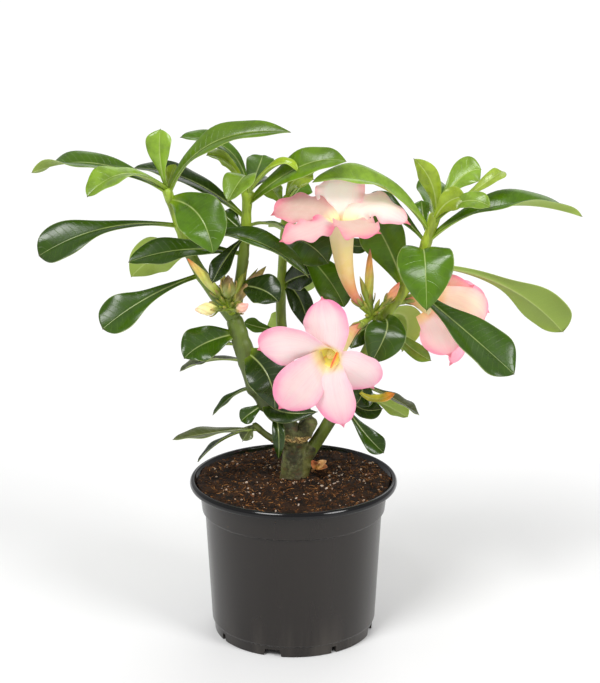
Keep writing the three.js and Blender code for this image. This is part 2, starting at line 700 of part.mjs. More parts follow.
pot();
soil();
trunk();
stems();
blooms();
buds();
witheredShoot();

export default plant;
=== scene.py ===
# Potted desert rose (Adenium obesum) in flower, in a round nursery pot: how it looks.
# Everything is in metres, +Z up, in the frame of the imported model, with the blooms towards -Y.
# Lists of points and sizes are written in millimetres, and MM turns them into metres.

import math

import bpy
import numpy as np
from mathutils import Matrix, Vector, noise


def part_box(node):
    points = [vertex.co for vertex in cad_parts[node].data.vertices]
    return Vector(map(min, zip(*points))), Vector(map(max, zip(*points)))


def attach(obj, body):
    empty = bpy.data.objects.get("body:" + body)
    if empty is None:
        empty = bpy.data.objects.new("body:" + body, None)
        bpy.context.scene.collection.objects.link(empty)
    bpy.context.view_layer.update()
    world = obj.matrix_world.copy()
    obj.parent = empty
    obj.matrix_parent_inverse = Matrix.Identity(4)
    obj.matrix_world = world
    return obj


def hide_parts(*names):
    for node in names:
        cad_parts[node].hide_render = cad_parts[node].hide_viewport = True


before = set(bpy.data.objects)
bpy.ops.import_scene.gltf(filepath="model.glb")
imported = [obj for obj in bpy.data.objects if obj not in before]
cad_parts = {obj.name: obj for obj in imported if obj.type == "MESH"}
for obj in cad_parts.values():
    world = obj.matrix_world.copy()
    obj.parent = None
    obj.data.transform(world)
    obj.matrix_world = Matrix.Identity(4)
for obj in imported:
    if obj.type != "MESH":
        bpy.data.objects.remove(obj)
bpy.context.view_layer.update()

MM = 0.001

# ---------------------------------------------------------------- camera
# A short telephoto lens, 1.2 m from the plant and a little above it, looking down by 16
# degrees, so that the soil shows inside the rim of the pot.

CAMERA_PLACE = (4.08 * MM, -1152.5 * MM, 522.1 * MM)
CAMERA_TILT = 16.17
FILM_WIDTH = 36
FOCAL_LENGTH = 103.15


def placed(name, data):
    """A new object with this data, put into the scene."""
    thing = bpy.data.objects.new(name, data)
    bpy.context.scene.collection.objects.link(thing)
    return thing


camera_data = bpy.data.cameras.new("camera")
camera_data.sensor_width = FILM_WIDTH
camera_data.lens = FOCAL_LENGTH
camera = placed("camera", camera_data)
camera.location = CAMERA_PLACE
camera.rotation_euler = (math.radians(90 - CAMERA_TILT), 0, 0)
bpy.context.scene.camera = camera

# ---------------------------------------------------------------- pot
# A 13 cm nursery pot of charcoal polypropylene, moulded in one shot: a rolled glossy rim, a
# collar for stacking, a satin body and a foot ring with notches that let water out.

pot_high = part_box("pot")[1]
POT_HEIGHT = pot_high.z / MM
RIM_RADIUS = pot_high.x / MM
LIP_FOOT = POT_HEIGHT - 4.7
COLLAR_TOP_RADIUS = 59
COLLAR_FOOT_RADIUS = 57.2
COLLAR_FOOT = 80
BODY_TOP_RADIUS = 55.4
BODY_FOOT_RADIUS = 51.6
FOOT_HEIGHT = 6.5
FOOT_RADIUS = 50.4
POT_WALL = 1.6
POT_SIDES = 180
NOTCHES = ((11.6, -15), (3.8, 30))  # in each quarter, how wide and at how many degrees
NOTCH_HEIGHT = 4.4
NOTCH_TAPER = 0.8
WEDGE_FACES = [(3, 2, 1, 0), (4, 5, 6, 7), (1, 5, 4, 0), (2, 6, 5, 1), (3, 7, 6, 2), (0, 4, 7, 3)]
SHARP_EDGE = math.radians(38)

POT_PROFILE = [  # radius, height and how far the corner is rounded
    (0, 0, 0),
    (12, 0, 0.3),
    (15, 3.4, 1),
    (FOOT_RADIUS - 4, 3.4, 0.6),
    (FOOT_RADIUS - 2.6, 0, 0.4),
    (FOOT_RADIUS - 0.4, 0, 0.4),
    (FOOT_RADIUS, FOOT_HEIGHT, 0.5),
    (BODY_FOOT_RADIUS, FOOT_HEIGHT + 1, 0.7),
    (BODY_TOP_RADIUS, COLLAR_FOOT - 1, 0.6),
    (COLLAR_FOOT_RADIUS, COLLAR_FOOT, 0.5),
    (COLLAR_TOP_RADIUS, LIP_FOOT, 0.8),
    (RIM_RADIUS - 0.6, LIP_FOOT + 0.4, 0.7),
    (RIM_RADIUS, POT_HEIGHT - 2.2, 1.8),
    (RIM_RADIUS - 1.2, POT_HEIGHT, 1.4),
    (RIM_RADIUS - 2.8, POT_HEIGHT, 1),
    (RIM_RADIUS - 3.6, POT_HEIGHT - 1.4, 1),
    (COLLAR_TOP_RADIUS - POT_WALL, LIP_FOOT - 1, 1),
    (COLLAR_FOOT_RADIUS - POT_WALL, COLLAR_FOOT + 0.6, 0.5),
    (BODY_TOP_RADIUS - POT_WALL, COLLAR_FOOT - 1, 0.5),
    (BODY_FOOT_RADIUS - POT_WALL, FOOT_HEIGHT, 1),
    (0, FOOT_HEIGHT, 0),
]


def rounded(profile, steps=5):
    """The profile's points, with each corner as a short curve."""
    corners = [Vector((r, z)) for r, z, _ in profile]
    points = [corners[0]]
    for before, corner, after, (_, _, size) in zip(
        corners, corners[1:], corners[2:], profile[1:]
    ):
        start = corner + (before - corner).normalized() * min(size, (before - corner).length / 2)
        end = corner + (after - corner).normalized() * min(size, (after - corner).length / 2)
        for step in range(steps + 1):
            way = step / steps
            points.append(start.lerp(corner, way).lerp(corner.lerp(end, way), way))
    return [*points, corners[-1]]


def ring_faces(rings, sides):
    """Faces over rings of points round the axis, with a fan to the point at each end."""
    faces = []
    last = 1 + (rings - 1) * sides
    for side in range(sides):
        after = (side + 1) % sides
        faces.append((0, 1 + after, 1 + side))
        for row in range(rings - 1):
            a, b = 1 + row * sides, 1 + (row + 1) * sides
            faces.append((a + side, a + after, b + after, b + side))
        faces.append((last + side, last + after, last + sides))
    return faces


def turned(name, profile, sides):
    """A closed body of revolution over a profile that starts and ends on the axis."""
    points = [(0, 0, profile[0].y * MM)]
    turns = [2 * math.pi * side / sides for side in range(sides)]
    for p in profile[1:-1]:
        points += [(p.x * MM * math.cos(t), p.x * MM * math.sin(t), p.y * MM) for t in turns]
    points.append((0, 0, profile[-1].y * MM))
    mesh = bpy.data.meshes.new(name)
    mesh.from_pydata(points, [], ring_faces(len(profile) - 2, sides))
    mesh.validate()
    return placed(name, mesh)


def notch_wedge(width, degrees):
    """The corners of a wedge that cuts one notch, narrower at its top, through the foot ring."""
    half = width / 2
    narrow = NOTCH_TAPER * half
    outline = [(-half, -1), (half, -1), (narrow, NOTCH_HEIGHT), (-narrow, NOTCH_HEIGHT)]
    cos, sin = math.cos(math.radians(degrees)), math.sin(math.radians(degrees))
    return [
        ((x * cos + reach * sin) * MM, (x * sin - reach * cos) * MM, z * MM)
        for reach in (FOOT_RADIUS - 6, FOOT_RADIUS + 3)
        for x, z in outline
    ]


def baked(piece):
    """The piece with its modifiers made part of a plain mesh."""
    graph = bpy.context.evaluated_depsgraph_get()
    mesh = bpy.data.meshes.new_from_object(piece.evaluated_get(graph))
    piece.modifiers.clear()
    old = piece.data
    piece.data = mesh
    bpy.data.meshes.remove(old)
    return piece


pot = turned("nursery_pot", rounded(POT_PROFILE), POT_SIDES)
cut_points, cut_faces = [], []
for quarter in range(4):
    for width, degrees in NOTCHES:
        cut_faces += [tuple(i + len(cut_points) for i in face) for face in WEDGE_FACES]
        cut_points += notch_wedge(width, quarter * 90 + degrees)
cutter_mesh = bpy.data.meshes.new("foot notches")
cutter_mesh.from_pydata(cut_points, [], cut_faces)
cutter = placed("foot notches", cutter_mesh)
cut = pot.modifiers.new("notches", "BOOLEAN")
cut.operation = "DIFFERENCE"
cut.solver = "EXACT"
cut.object = cutter
baked(pot)
bpy.data.objects.remove(cutter)
pot.data.shade_smooth()
pot.data.set_sharp_from_angle(angle=SHARP_EDGE)


class Nodes:
    """Adds nodes to a tree: a socket's input is a value, or another node's output."""

    def __init__(self, tree):
        self.tree = tree

    def add(self, kind, inputs=None, **settings):
        node = self.tree.nodes.new(kind)
        for name, value in settings.items():
            setattr(node, name, value)
        for socket, value in (inputs or {}).items():
            if isinstance(value, bpy.types.NodeSocket):
                self.tree.links.new(value, node.inputs[socket])
            else:
                node.inputs[socket].default_value = value
        return node

    def maths(self, operation, *values):
        return self.add("ShaderNodeMath", dict(enumerate(values)), operation=operation).outputs[0]

    def plus(self, first, second):
        return self.maths("ADD", first, second)

    def minus(self, first, second):
        return self.maths("SUBTRACT", first, second)

    def times(self, first, second):
        return self.maths("MULTIPLY", first, second)

    def vector(self, operation, first, second):
        inputs = {0: first, 1: second}
        return self.add("ShaderNodeVectorMath", inputs, operation=operation).outputs[0]

    def join(self, x=0.0, y=0.0, z=0.0):
        return self.add("ShaderNodeCombineXYZ", {0: x, 1: y, 2: z}).outputs[0]

    def split(self, vector):
        return self.add("ShaderNodeSeparateXYZ", {0: vector}).outputs

    def ramp(self, value, low, high, start=0.0, end=1.0):
        """A value that goes smoothly from start to end while the input goes from low to high."""
        node = self.add(
            "ShaderNodeMapRange",
            {"Value": value, "From Min": low, "From Max": high, "To Min": start, "To Max": end},
            interpolation_type="SMOOTHSTEP",
        )
        return node.outputs["Result"]

    def mix(self, factor, first, second, blend="MIX"):
        """A colour between two others."""
        inputs = {0: factor, 6: first, 7: second}
        return self.add("ShaderNodeMix", inputs, data_type="RGBA", blend_type=blend).outputs[2]

    def between(self, factor, first, second):
        """A number between two others."""
        return self.add("ShaderNodeMix", {0: factor, 2: first, 3: second}).outputs[0]

    def noise(self, place, scale, detail=3.0, roughness=0.55):
        inputs = {"Vector": place, "Scale": scale, "Detail": detail, "Roughness": roughness}
        return self.add("ShaderNodeTexNoise", inputs).outputs["Fac"]

    def attribute(self, name, output="Color"):
        return self.add("ShaderNodeAttribute", attribute_name=name).outputs[output]

    def place(self):
        """The point of the surface in the piece's own frame, in metres."""
        return self.add("ShaderNodeTexCoord").outputs["Object"]


def new_material(name, **settings):
    """A material with one Principled shader, and what adds nodes to it."""
    material = bpy.data.materials.new(name)
    material.use_nodes = True
    tree = material.node_tree
    tree.nodes.clear()
    nodes = Nodes(tree)
    inputs = {socket.replace("_", " "): value for socket, value in settings.items()}
    shader = nodes.add("ShaderNodeBsdfPrincipled", inputs)
    nodes.add("ShaderNodeOutputMaterial", {"Surface": shader.outputs[0]})
    return material, nodes, shader


def drive(nodes, shader, **sockets):
    """Links what varies over the surface to the shader's sockets."""
    for name, value in sockets.items():
        nodes.tree.links.new(value, shader.inputs[name.replace("_", " ")])


def rgb(red, green, blue):
    """A colour as a paint chip reads, 0 to 255, made linear."""
    parts = (red, green, blue)
    return [((c / 255 + 0.055) / 1.055) ** 2.4 if c > 10 else c / 3295 for c in parts] + [1]


def new_group(name, kind, inputs, outputs):
    """A node tree with these sockets, each a name, a type and perhaps its first value."""
    tree = bpy.data.node_groups.new(name, kind)
    for way, sockets in (("INPUT", inputs), ("OUTPUT", outputs)):
        for label, sort, *value in sockets:
            socket = tree.interface.new_socket(label, in_out=way, socket_type=f"NodeSocket{sort}")
            if value:
                socket.default_value = value[0]
    nodes = Nodes(tree)
    return tree, nodes, nodes.add("NodeGroupInput").outputs


def mottle_group():
    """Cloudy mottling at one scale, which can be drawn out along Z, and its fine grain."""
    tree, nodes, entry = new_group(
        "mottle",
        "ShaderNodeTree",
        [("Vector", "Vector"), ("Scale", "Float", 100.0), ("Draw out", "Float", 1.0),
         ("Grain scale", "Float", 1000.0)],
        [("Clouds", "Float"), ("Grain", "Float"), ("Height", "Float")],
    )
    stretch = nodes.join(1.0, 1.0, nodes.maths("DIVIDE", 1.0, entry["Draw out"]))
    place = nodes.vector("MULTIPLY", entry["Vector"], stretch)
    clouds = nodes.noise(place, entry["Scale"], 4.0, 0.6)
    grain = nodes.noise(place, entry["Grain scale"], 2.0, 0.6)
    height = nodes.plus(nodes.times(clouds, 0.6), nodes.times(grain, 0.4))
    nodes.add("NodeGroupOutput", {"Clouds": clouds, "Grain": grain, "Height": height})
    return tree


MOTTLE = mottle_group()


def mottle(nodes, scale, draw_out=1.0, grain=1000.0):
    """The mottle group on the piece's own coordinates."""
    inputs = {"Vector": nodes.place(), "Scale": scale, "Draw out": draw_out, "Grain scale": grain}
    return nodes.add("ShaderNodeGroup", inputs, node_tree=MOTTLE).outputs


def bump(nodes, height, distance, strength=1.0):
    inputs = {"Height": height, "Distance": distance, "Strength": strength}
    return nodes.add("ShaderNodeBump", inputs).outputs["Normal"]


PLASTIC_DARK = rgb(27, 23, 20)
PLASTIC_LIGHT = rgb(37, 32, 29)
PLASTIC_RIM = rgb(6, 6, 8)
DUST = rgb(92, 86, 78)
DUST_HEIGHT = 0.03
RIM_ROUGHNESS = 0.1


def pot_plastic():
    """Charcoal plastic with faint upright streaks, dusty at its foot and glossy at its rim."""
    material, nodes, shader = new_material("charcoal polypropylene", Specular_IOR_Level=0.4)
    streaks = mottle(nodes, 55.0, 14.0, 2600.0)
    rise = nodes.split(nodes.place())["Z"]
    dust = nodes.times(nodes.ramp(rise, DUST_HEIGHT, 0.0), nodes.ramp(streaks["Clouds"], 0.4, 0.7))
    colour = nodes.mix(streaks["Clouds"], PLASTIC_DARK, PLASTIC_LIGHT)
    colour = nodes.mix(nodes.times(dust, 0.3), colour, DUST)
    rim = nodes.ramp(rise, (LIP_FOOT - 0.6) * MM, (LIP_FOOT + 0.3) * MM)
    colour = nodes.mix(rim, colour, PLASTIC_RIM)
    satin = nodes.ramp(streaks["Clouds"], 0.3, 0.7, 0.2, 0.27)
    rough = nodes.between(rim, satin, RIM_ROUGHNESS)
    normal = bump(nodes, streaks["Grain"], 0.00002, 0.5)
    drive(nodes, shader, Base_Color=colour, Roughness=rough, Normal=normal)
    return material


pot.data.materials.clear()
pot.data.materials.append(pot_plastic())
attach(pot, "root")
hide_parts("pot")

# ---------------------------------------------------------------- soil
# Dark peaty potting mix, filled nearly to the rim and a little mounded: a lumpy bed, with
# loose crumbs, golden fibres, bits of bark and white grains of perlite on top.

SOIL_EDGE = 97.8
SOIL_MOUND = 3
SOIL_RADIUS = 60.2
BED_RINGS = 88
BED_SIDES = 330
BED_TOP = 85  # what lies above this height is the bed's upper side
BED_WALL = [  # radius and height, down along the inside of the pot
    (COLLAR_TOP_RADIUS - POT_WALL - 0.6, LIP_FOOT - 1.2),
    (COLLAR_FOOT_RADIUS - POT_WALL - 0.5, COLLAR_FOOT + 1),
    (BODY_TOP_RADIUS - POT_WALL - 0.5, COLLAR_FOOT - 1.4),
    (BODY_FOOT_RADIUS - POT_WALL - 0.5, FOOT_HEIGHT + 0.4),
]
PIT = Vector((16.6, 4.5))  # a dark hole beside the trunk
PIT_DEPTH = 9
PIT_RADIUS = 4.4
CLOD_PLACE = Vector((3.1, 7.7, 1.3))
DRIFT_SCALE = 55.0  # of the patches in which grains gather
CHIPPING_SCALE = 1400.0  # of what makes each grain uneven


def soil_height(x, y):
    """The bed's height in millimetres: broad lumps, then clods, then crumbs."""
    lumps = math.sin(x * 0.31 + 1) * math.cos(y * 0.27) + math.sin(x * 0.13 - y * 0.19)
    place = Vector((x, y, 0))
    clods = noise.noise(place * 0.19 + CLOD_PLACE) * 0.9
    crumbs = noise.noise(place * 0.55) * 0.62 + noise.noise(place * 1.25) * 0.42
    pit = PIT_DEPTH * math.exp(-((Vector((x, y)) - PIT).length / PIT_RADIUS) ** 2)
    mound = SOIL_MOUND * (1 - place.length_squared / RIM_RADIUS**2)
    height = SOIL_EDGE - 0.4 + mound + 0.45 * lumps + clods + crumbs - pit
    return max(height, SOIL_EDGE - 0.7 - pit)


def soil_bed():
    """The bed from its middle out to the pot's wall, down along it, and closed underneath."""
    points = [(0, 0, soil_height(0, 0) * MM)]
    turns = [2 * math.pi * side / BED_SIDES for side in range(BED_SIDES)]
    for ring in range(BED_RINGS):
        radius = SOIL_RADIUS * (ring + 1) / BED_RINGS
        for turn in turns:
            x, y = radius * math.cos(turn), radius * math.sin(turn)
            points.append((x * MM, y * MM, soil_height(x, y) * MM))
    for radius, height in BED_WALL:
        points += [
            (radius * math.cos(t) * MM, radius * math.sin(t) * MM, height * MM) for t in turns
        ]
    points.append((0, 0, BED_WALL[-1][1] * MM))
    faces = ring_faces(BED_RINGS + len(BED_WALL), BED_SIDES)
    mesh = bpy.data.meshes.new("soil_bed")
    mesh.from_pydata(points, [], [(face[0], *face[:0:-1]) for face in faces])
    mesh.shade_smooth()
    return placed("soil_bed", mesh)


def soil_material(name, dark, light, scale, rough=0.95):
    """Crumbly matter that goes from a dark to a light colour in patches and specks."""
    material, nodes, shader = new_material(name, Roughness=rough, Specular_IOR_Level=0.25)
    patches = mottle(nodes, scale, 1.0, scale * 9)
    broad = nodes.ramp(patches["Clouds"], 0.35, 0.7)
    specks = nodes.ramp(patches["Grain"], 0.52, 0.72)
    share = nodes.plus(nodes.times(broad, 0.45), nodes.times(specks, 0.55))
    normal = bump(nodes, patches["Height"], 0.0006, 0.9)
    drive(nodes, shader, Base_Color=nodes.mix(share, dark, light), Normal=normal)
    return material


SCATTER_SIZES = (
    "Grains per square metre", "Smallest", "Largest", "Length", "Flatness", "Bend", "Roughness",
    "Patchiness", "Bed radius", "Lean",
)


def scatter_tree():
    """Grains of one kind strewn over the upper side of a bed, each turned and sized at random."""
    tree, nodes, entry = new_group(
        "strewn grains",
        "GeometryNodeTree",
        [("Bed", "Geometry"), *((name, "Float") for name in SCATTER_SIZES), ("Seed", "Int"),
         ("Matter", "Material")],
        [("Grains", "Geometry")],
    )
    tree.is_modifier = True
    place = nodes.add("GeometryNodeInputPosition").outputs[0]
    x, y, rise = nodes.split(place)
    reach = nodes.add("ShaderNodeVectorMath", {0: nodes.join(x, y)}, operation="LENGTH")
    inside, upper = (
        nodes.add("FunctionNodeCompare", {0: value, 1: bound}, data_type="FLOAT", operation=sort)
        for value, bound, sort in (
            (reach.outputs["Value"], entry["Bed radius"], "LESS_THAN"),
            (rise, BED_TOP * MM, "GREATER_THAN"),
        )
    )
    on_top = nodes.add(
        "FunctionNodeBooleanMath", {0: inside.outputs[0], 1: upper.outputs[0]}, operation="AND"
    ).outputs[0]
    patch = nodes.ramp(nodes.noise(place, DRIFT_SCALE, 2.0, 0.5), 0.42, 0.6)
    patchiness = entry["Patchiness"]
    share = nodes.plus(nodes.minus(1.0, patchiness), nodes.times(patch, patchiness))
    density = nodes.times(share, entry["Grains per square metre"])
    points = nodes.add(
        "GeometryNodeDistributePointsOnFaces",
        {"Mesh": entry["Bed"], "Selection": on_top, "Density": density, "Seed": entry["Seed"]},
    ).outputs["Points"]
    grain = nodes.add("GeometryNodeMeshIcoSphere", {"Radius": 0.5, "Subdivisions": 2}).outputs[0]
    stretch = nodes.join(entry["Length"], 1.0, entry["Flatness"])
    grain = nodes.add("GeometryNodeTransform", {"Geometry": grain, "Scale": stretch}).outputs[0]
    along = nodes.split(nodes.add("GeometryNodeInputPosition").outputs[0])["X"]
    arch = nodes.times(nodes.times(along, along), entry["Bend"])
    aside = nodes.join(0.0, arch, nodes.times(arch, -0.4))
    grain = nodes.add("GeometryNodeSetPosition", {"Geometry": grain, "Offset": aside}).outputs[0]
    lean = entry["Lean"]
    back = nodes.times(lean, -1.0)
    turn = nodes.add(
        "FunctionNodeRandomValue",
        {0: nodes.join(back, back), 1: nodes.join(lean, lean, 2 * math.pi), "Seed": entry["Seed"]},
        data_type="FLOAT_VECTOR",
    ).outputs[0]
    size = nodes.add(
        "FunctionNodeRandomValue",
        {2: entry["Smallest"], 3: entry["Largest"], "Seed": entry["Seed"]},
        data_type="FLOAT",
    ).outputs[1]
    grains = nodes.add(
        "GeometryNodeInstanceOnPoints",
        {"Points": points, "Instance": grain, "Rotation": turn, "Scale": size},
    ).outputs[0]
    solid = nodes.add("GeometryNodeRealizeInstances", {0: grains}).outputs[0]
    spot = nodes.add("GeometryNodeInputPosition").outputs[0]
    inputs = {"Vector": spot, "Scale": CHIPPING_SCALE, "Detail": 1.0}
    jitter = nodes.add("ShaderNodeTexNoise", inputs)
    centred = nodes.vector("SUBTRACT", jitter.outputs["Color"], (0.5, 0.5, 0.5))
    push = nodes.add(
        "ShaderNodeVectorMath", {0: centred, "Scale": entry["Roughness"]}, operation="SCALE"
    ).outputs[0]
    solid = nodes.add("GeometryNodeSetPosition", {"Geometry": solid, "Offset": push}).outputs[0]
    matter = {"Geometry": solid, "Material": entry["Matter"]}
    solid = nodes.add("GeometryNodeSetMaterial", matter).outputs[0]
    nodes.add("NodeGroupOutput", {0: solid})
    return tree


def strewn(name, tree, bed, **inputs):
    """A plain mesh of grains, laid over the bed by the tree, with its inputs set by name."""
    piece = placed(name, bed.data.copy())
    modifier = piece.modifiers.new(name, "NODES")
    modifier.node_group = tree
    sockets = {item.name: item.identifier for item in tree.interface.items_tree}
    for label, value in inputs.items():
        modifier[sockets[label.replace("_", " ")]] = value
    baked(piece)
    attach(piece, "root")


bed = soil_bed()
bed.data.materials.append(soil_material("peat", rgb(16, 10, 6), rgb(72, 46, 27), 130.0))
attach(bed, "root")
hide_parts("soil")
scatter = scatter_tree()
GRAIN_REACH = (SOIL_RADIUS - 1.2) * MM
strewn(
    "soil_crumbs", scatter, bed, Grains_per_square_metre=190000.0, Smallest=0.5 * MM,
    Largest=1.7 * MM, Length=1.25, Flatness=0.7, Bend=0.0, Roughness=0.8 * MM, Patchiness=0.2,
    Bed_radius=GRAIN_REACH, Lean=0.8, Seed=3,
    Matter=soil_material("peat crumbs", rgb(18, 11, 6), rgb(124, 78, 38), 260.0),
)
strewn(
    "soil_fibres", scatter, bed, Grains_per_square_metre=90000.0, Smallest=0.18 * MM,
    Largest=0.4 * MM, Length=14.0, Flatness=0.8, Bend=0.03, Roughness=0.15 * MM, Patchiness=0.75,
    Bed_radius=GRAIN_REACH, Lean=0.25, Seed=11,
    Matter=soil_material("coir fibre", rgb(120, 68, 28), rgb(244, 180, 104), 300.0, 0.8),
)
strewn(
    "soil_bark", scatter, bed, Grains_per_square_metre=3600.0, Smallest=1.2 * MM,
    Largest=2.6 * MM, Length=2.1, Flatness=0.4, Bend=0.05, Roughness=0.9 * MM, Patchiness=0.3,
    Bed_radius=GRAIN_REACH - 2 * MM, Lean=0.3, Seed=21,
    Matter=soil_material("bark chips", rgb(60, 32, 18), rgb(150, 96, 58), 220.0),
)
strewn(
    "perlite", scatter, bed, Grains_per_square_metre=30000.0, Smallest=0.3 * MM,
    Largest=1.6 * MM, Length=1.5, Flatness=0.7, Bend=0.0, Roughness=0.9 * MM, Patchiness=0.97,
    Bed_radius=GRAIN_REACH, Lean=1.0, Seed=5,
    Matter=soil_material("perlite", rgb(150, 116, 86), rgb(250, 240, 228), 500.0, 0.8),
)

# ---------------------------------------------------------------- trunk
# The caudex: a short swollen grey-green foot, ringed by a pale brown scar where it was cut
# back, with a lump, the stump of a cut branch on its right and the feet of the stems that
# sprang from it, all in one skin. The bark is smooth, mottled and finely creased.

STEMS = {  # the middle line of each stem from its root, and its radius at root and tip
    "main": (
        [(0, 0, 125), (-4, -2, 135), (-13, -5, 147), (-23, -6, 162), (-31, -4, 187),
         (-37, -2, 206)],
        (6.2, 5.2),
    ),
    "left": (
        [(-36, -2, 203), (-49, 0, 220), (-57, 4, 231), (-64, 6, 245), (-69, 4, 260),
         (-73, 2, 273), (-76, 0, 284)],
        (4.6, 2.3),
    ),
    "middle": (
        [(-36, -1, 205), (-33, 0, 221), (-31, 2, 236), (-29, 2, 254), (-28, 2, 270),
         (-27, 0, 283)],
        (3.8, 2.6),
    ),
    "back": (
        [(4, 4, 125), (8, 12, 133), (2, 30, 147), (-6, 40, 174), (-8, 42, 193), (-7, 40, 226),
         (-5, 36, 253), (-4, 32, 273)],
        (4.2, 2.3),
    ),
    "right": (
        [(5, 2, 108), (15, 0, 124), (23, -4, 139), (39, -5, 170), (55, -5, 204), (68, -2, 222),
         (77, 0, 241), (82, 0, 255), (86, 0, 269)],
        (4.2, 2.7),
    ),
    "sprig": ([(-4, -2, 121), (-16, -6, 129), (-25, -9, 138)], (2.6, 1.6)),
}
TRUNK_CUTS = {"main": 0.12, "back": 0.1, "right": 0.08, "sprig": 0.4}
LINE_STEPS = 400


def read_off(at, known, points):
    """Points or colours at some values, from a row of them at known values."""
    return np.stack([np.interp(at, known, part) for part in np.transpose(points)], axis=-1)


def steps_of(line):
    """How long each step along the line is."""
    return np.linalg.norm(np.diff(line, axis=0), axis=1)


def even(line):
    """The same line in LINE_STEPS steps of one length."""
    gone = np.concatenate([[0], np.cumsum(steps_of(line))])
    return read_off(np.linspace(0, gone[-1], LINE_STEPS + 1), gone, line)


def smooth_line(points):
    """Evenly spaced points on a centripetal Catmull-Rom curve through the given ones."""
    given = np.array(points, float)
    ends = (2 * given[0] - given[1], 2 * given[-1] - given[-2])
    whole = np.vstack([ends[0], given, ends[1]])
    t = np.linspace(0, 1, 60, endpoint=False)[:, None]
    samples = []
    for p0, p1, p2, p3 in zip(whole, whole[1:], whole[2:], whole[3:]):
        d0, d1, d2 = (np.sqrt(np.linalg.norm(b - a)) for a, b in ((p0, p1), (p1, p2), (p2, p3)))
        out = ((p1 - p0) / d0 - (p2 - p0) / (d0 + d1) + (p2 - p1) / d1) * d1
        into = ((p2 - p1) / d1 - (p3 - p1) / (d1 + d2) + (p3 - p2) / d2) * d1
        cubic = p1 + out * t + (-3 * p1 + 3 * p2 - 2 * out - into) * t**2
        samples.append(cubic + (2 * p1 - 2 * p2 + out + into) * t**3)
    return even(np.vstack([*samples, given[-1:]]))


def bezier(start, bend, end):
    """Points on a quadratic curve."""
    t = np.linspace(0, 1, LINE_STEPS + 1)[:, None]
    start, bend, end = (np.array(p, float) for p in (start, bend, end))
    return (1 - t) ** 2 * start + 2 * t * (1 - t) * bend + t**2 * end


def on_line(line, ways):
    """The line's points at parts of the way along it."""
    return read_off(ways, np.linspace(0, 1, len(line)), line)


def unit(vectors):
    return vectors / np.maximum(np.linalg.norm(vectors, axis=-1, keepdims=True), 1e-9)


def square_frames(line, ways):
    """Two directions square to the line at each way, which don't twist along it."""
    along = unit(np.gradient(line, axis=0))
    across = np.cross(along[0], [0, 1, 0] if abs(along[0][1]) < 0.9 else [1, 0, 0])
    carried = []
    for direction in along:
        across = unit(across - direction * across.dot(direction))
        carried.append(across)
    across = unit(on_line(np.array(carried), ways))
    return across, unit(np.cross(on_line(along, ways), across))


class Skin:
    """Gathers the closed lofts of one piece: points, faces and what each point says of itself."""

    VALUES = {  # how many numbers each is, and how a mesh keeps it
        "tone": (4, "FLOAT_COLOR", "color"),
        "blade": (3, "FLOAT_VECTOR", "vector"),
        "under": (1, "FLOAT", "value"),
    }

    def __init__(self):
        self.points, self.faces, self.count = [], [], 0
        self.values = {name: [] for name in self.VALUES}

    def loft(self, rings, thin=False, **values):
        """A closed skin over rings of equally many points, turned so that its faces point out.
        A thin one, such as a blade, is closed by strips across its ends, a round one by fans."""
        rings = np.asarray(rings, float)
        levels, around = rings.shape[:2]
        ids = np.arange(levels * around).reshape(levels, around)
        after = np.roll(ids, -1, axis=1)
        quads = np.stack([ids[:-1], after[:-1], after[1:], ids[1:]], axis=-1).reshape(-1, 4)
        faces = quads.tolist()
        points = rings.reshape(-1, 3)
        middles = []
        for row, hand in ((ids[0], -1), (ids[-1], 1)):
            if thin:
                pairs = [(i, i + 1, around - 2 - i, around - 1 - i) for i in range(around // 2 - 1)]
                caps = [[row[i] for i in pair] for pair in pairs]
            else:
                middle = len(points) + len(middles)
                middles.append(points[row].mean(axis=0))
                caps = [[row[i], row[(i + 1) % around], middle] for i in range(around)]
            faces += [[int(k) for k in cap[::hand]] for cap in caps]
        points = np.vstack([points, *middles])
        centred = points - points.mean(axis=0)
        a, b, c, d = (centred[quads[:, corner]] for corner in range(4))
        if np.sum(a * (np.cross(b, c) + np.cross(c, d))) < 0:
            faces = [face[::-1] for face in faces]
        self.faces += [[k + self.count for k in face] for face in faces]
        self.points.append(points)
        for name, (width, _, _) in self.VALUES.items():
            value = np.asarray(values.get(name, np.zeros(width)), float)
            whole = np.broadcast_to(value, (levels, around, width)).reshape(-1, width)
            ends = [whole[:around].mean(axis=0), whole[-around:].mean(axis=0)]
            self.values[name].append(np.vstack([whole, *ends[: len(middles)]]))
        self.count += len(points)

    def mesh(self, name):
        mesh = bpy.data.meshes.new(name)
        mesh.from_pydata((np.vstack(self.points) * MM).tolist(), [], self.faces)
        for label, (_, kind, field) in self.VALUES.items():
            data = np.vstack(self.values[label]).astype(np.float32).ravel()
            mesh.attributes.new(label, kind, "POINT").data.foreach_set(field, data)
        mesh.shade_smooth()
        return mesh

    def piece(self, name, material, slot, *nodes):
        """The piece itself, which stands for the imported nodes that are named."""
        piece = placed(name, self.mesh(name))
        piece.data.materials.append(material)
        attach(piece, "root")
        if nodes:
            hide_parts(*nodes)


def round_turns(sides):
    return np.linspace(0, 2 * math.pi, sides, endpoint=False)


def rounded_end(reach, least):
    """How a limb's radius shrinks towards its end, while reach goes from 0 to 1."""
    return np.sqrt(np.clip(1 - np.clip(reach, 0, 1) ** 2, least, 1))


def limb(skin, line, ways, radii, sides, **values):
    """A round limb along a line, with a radius at each way or at each point of each ring."""
    ways = np.asarray(ways, float)
    across, over = square_frames(line, ways)
    turns = round_turns(sides)
    radii = np.asarray(radii, float)
    radii = radii[:, None] if radii.ndim == 1 else radii
    spokes = across[:, None] * np.cos(turns)[:, None] + over[:, None] * np.sin(turns)[:, None]
    skin.loft(on_line(line, ways)[:, None] + spokes * radii[..., None], **values)


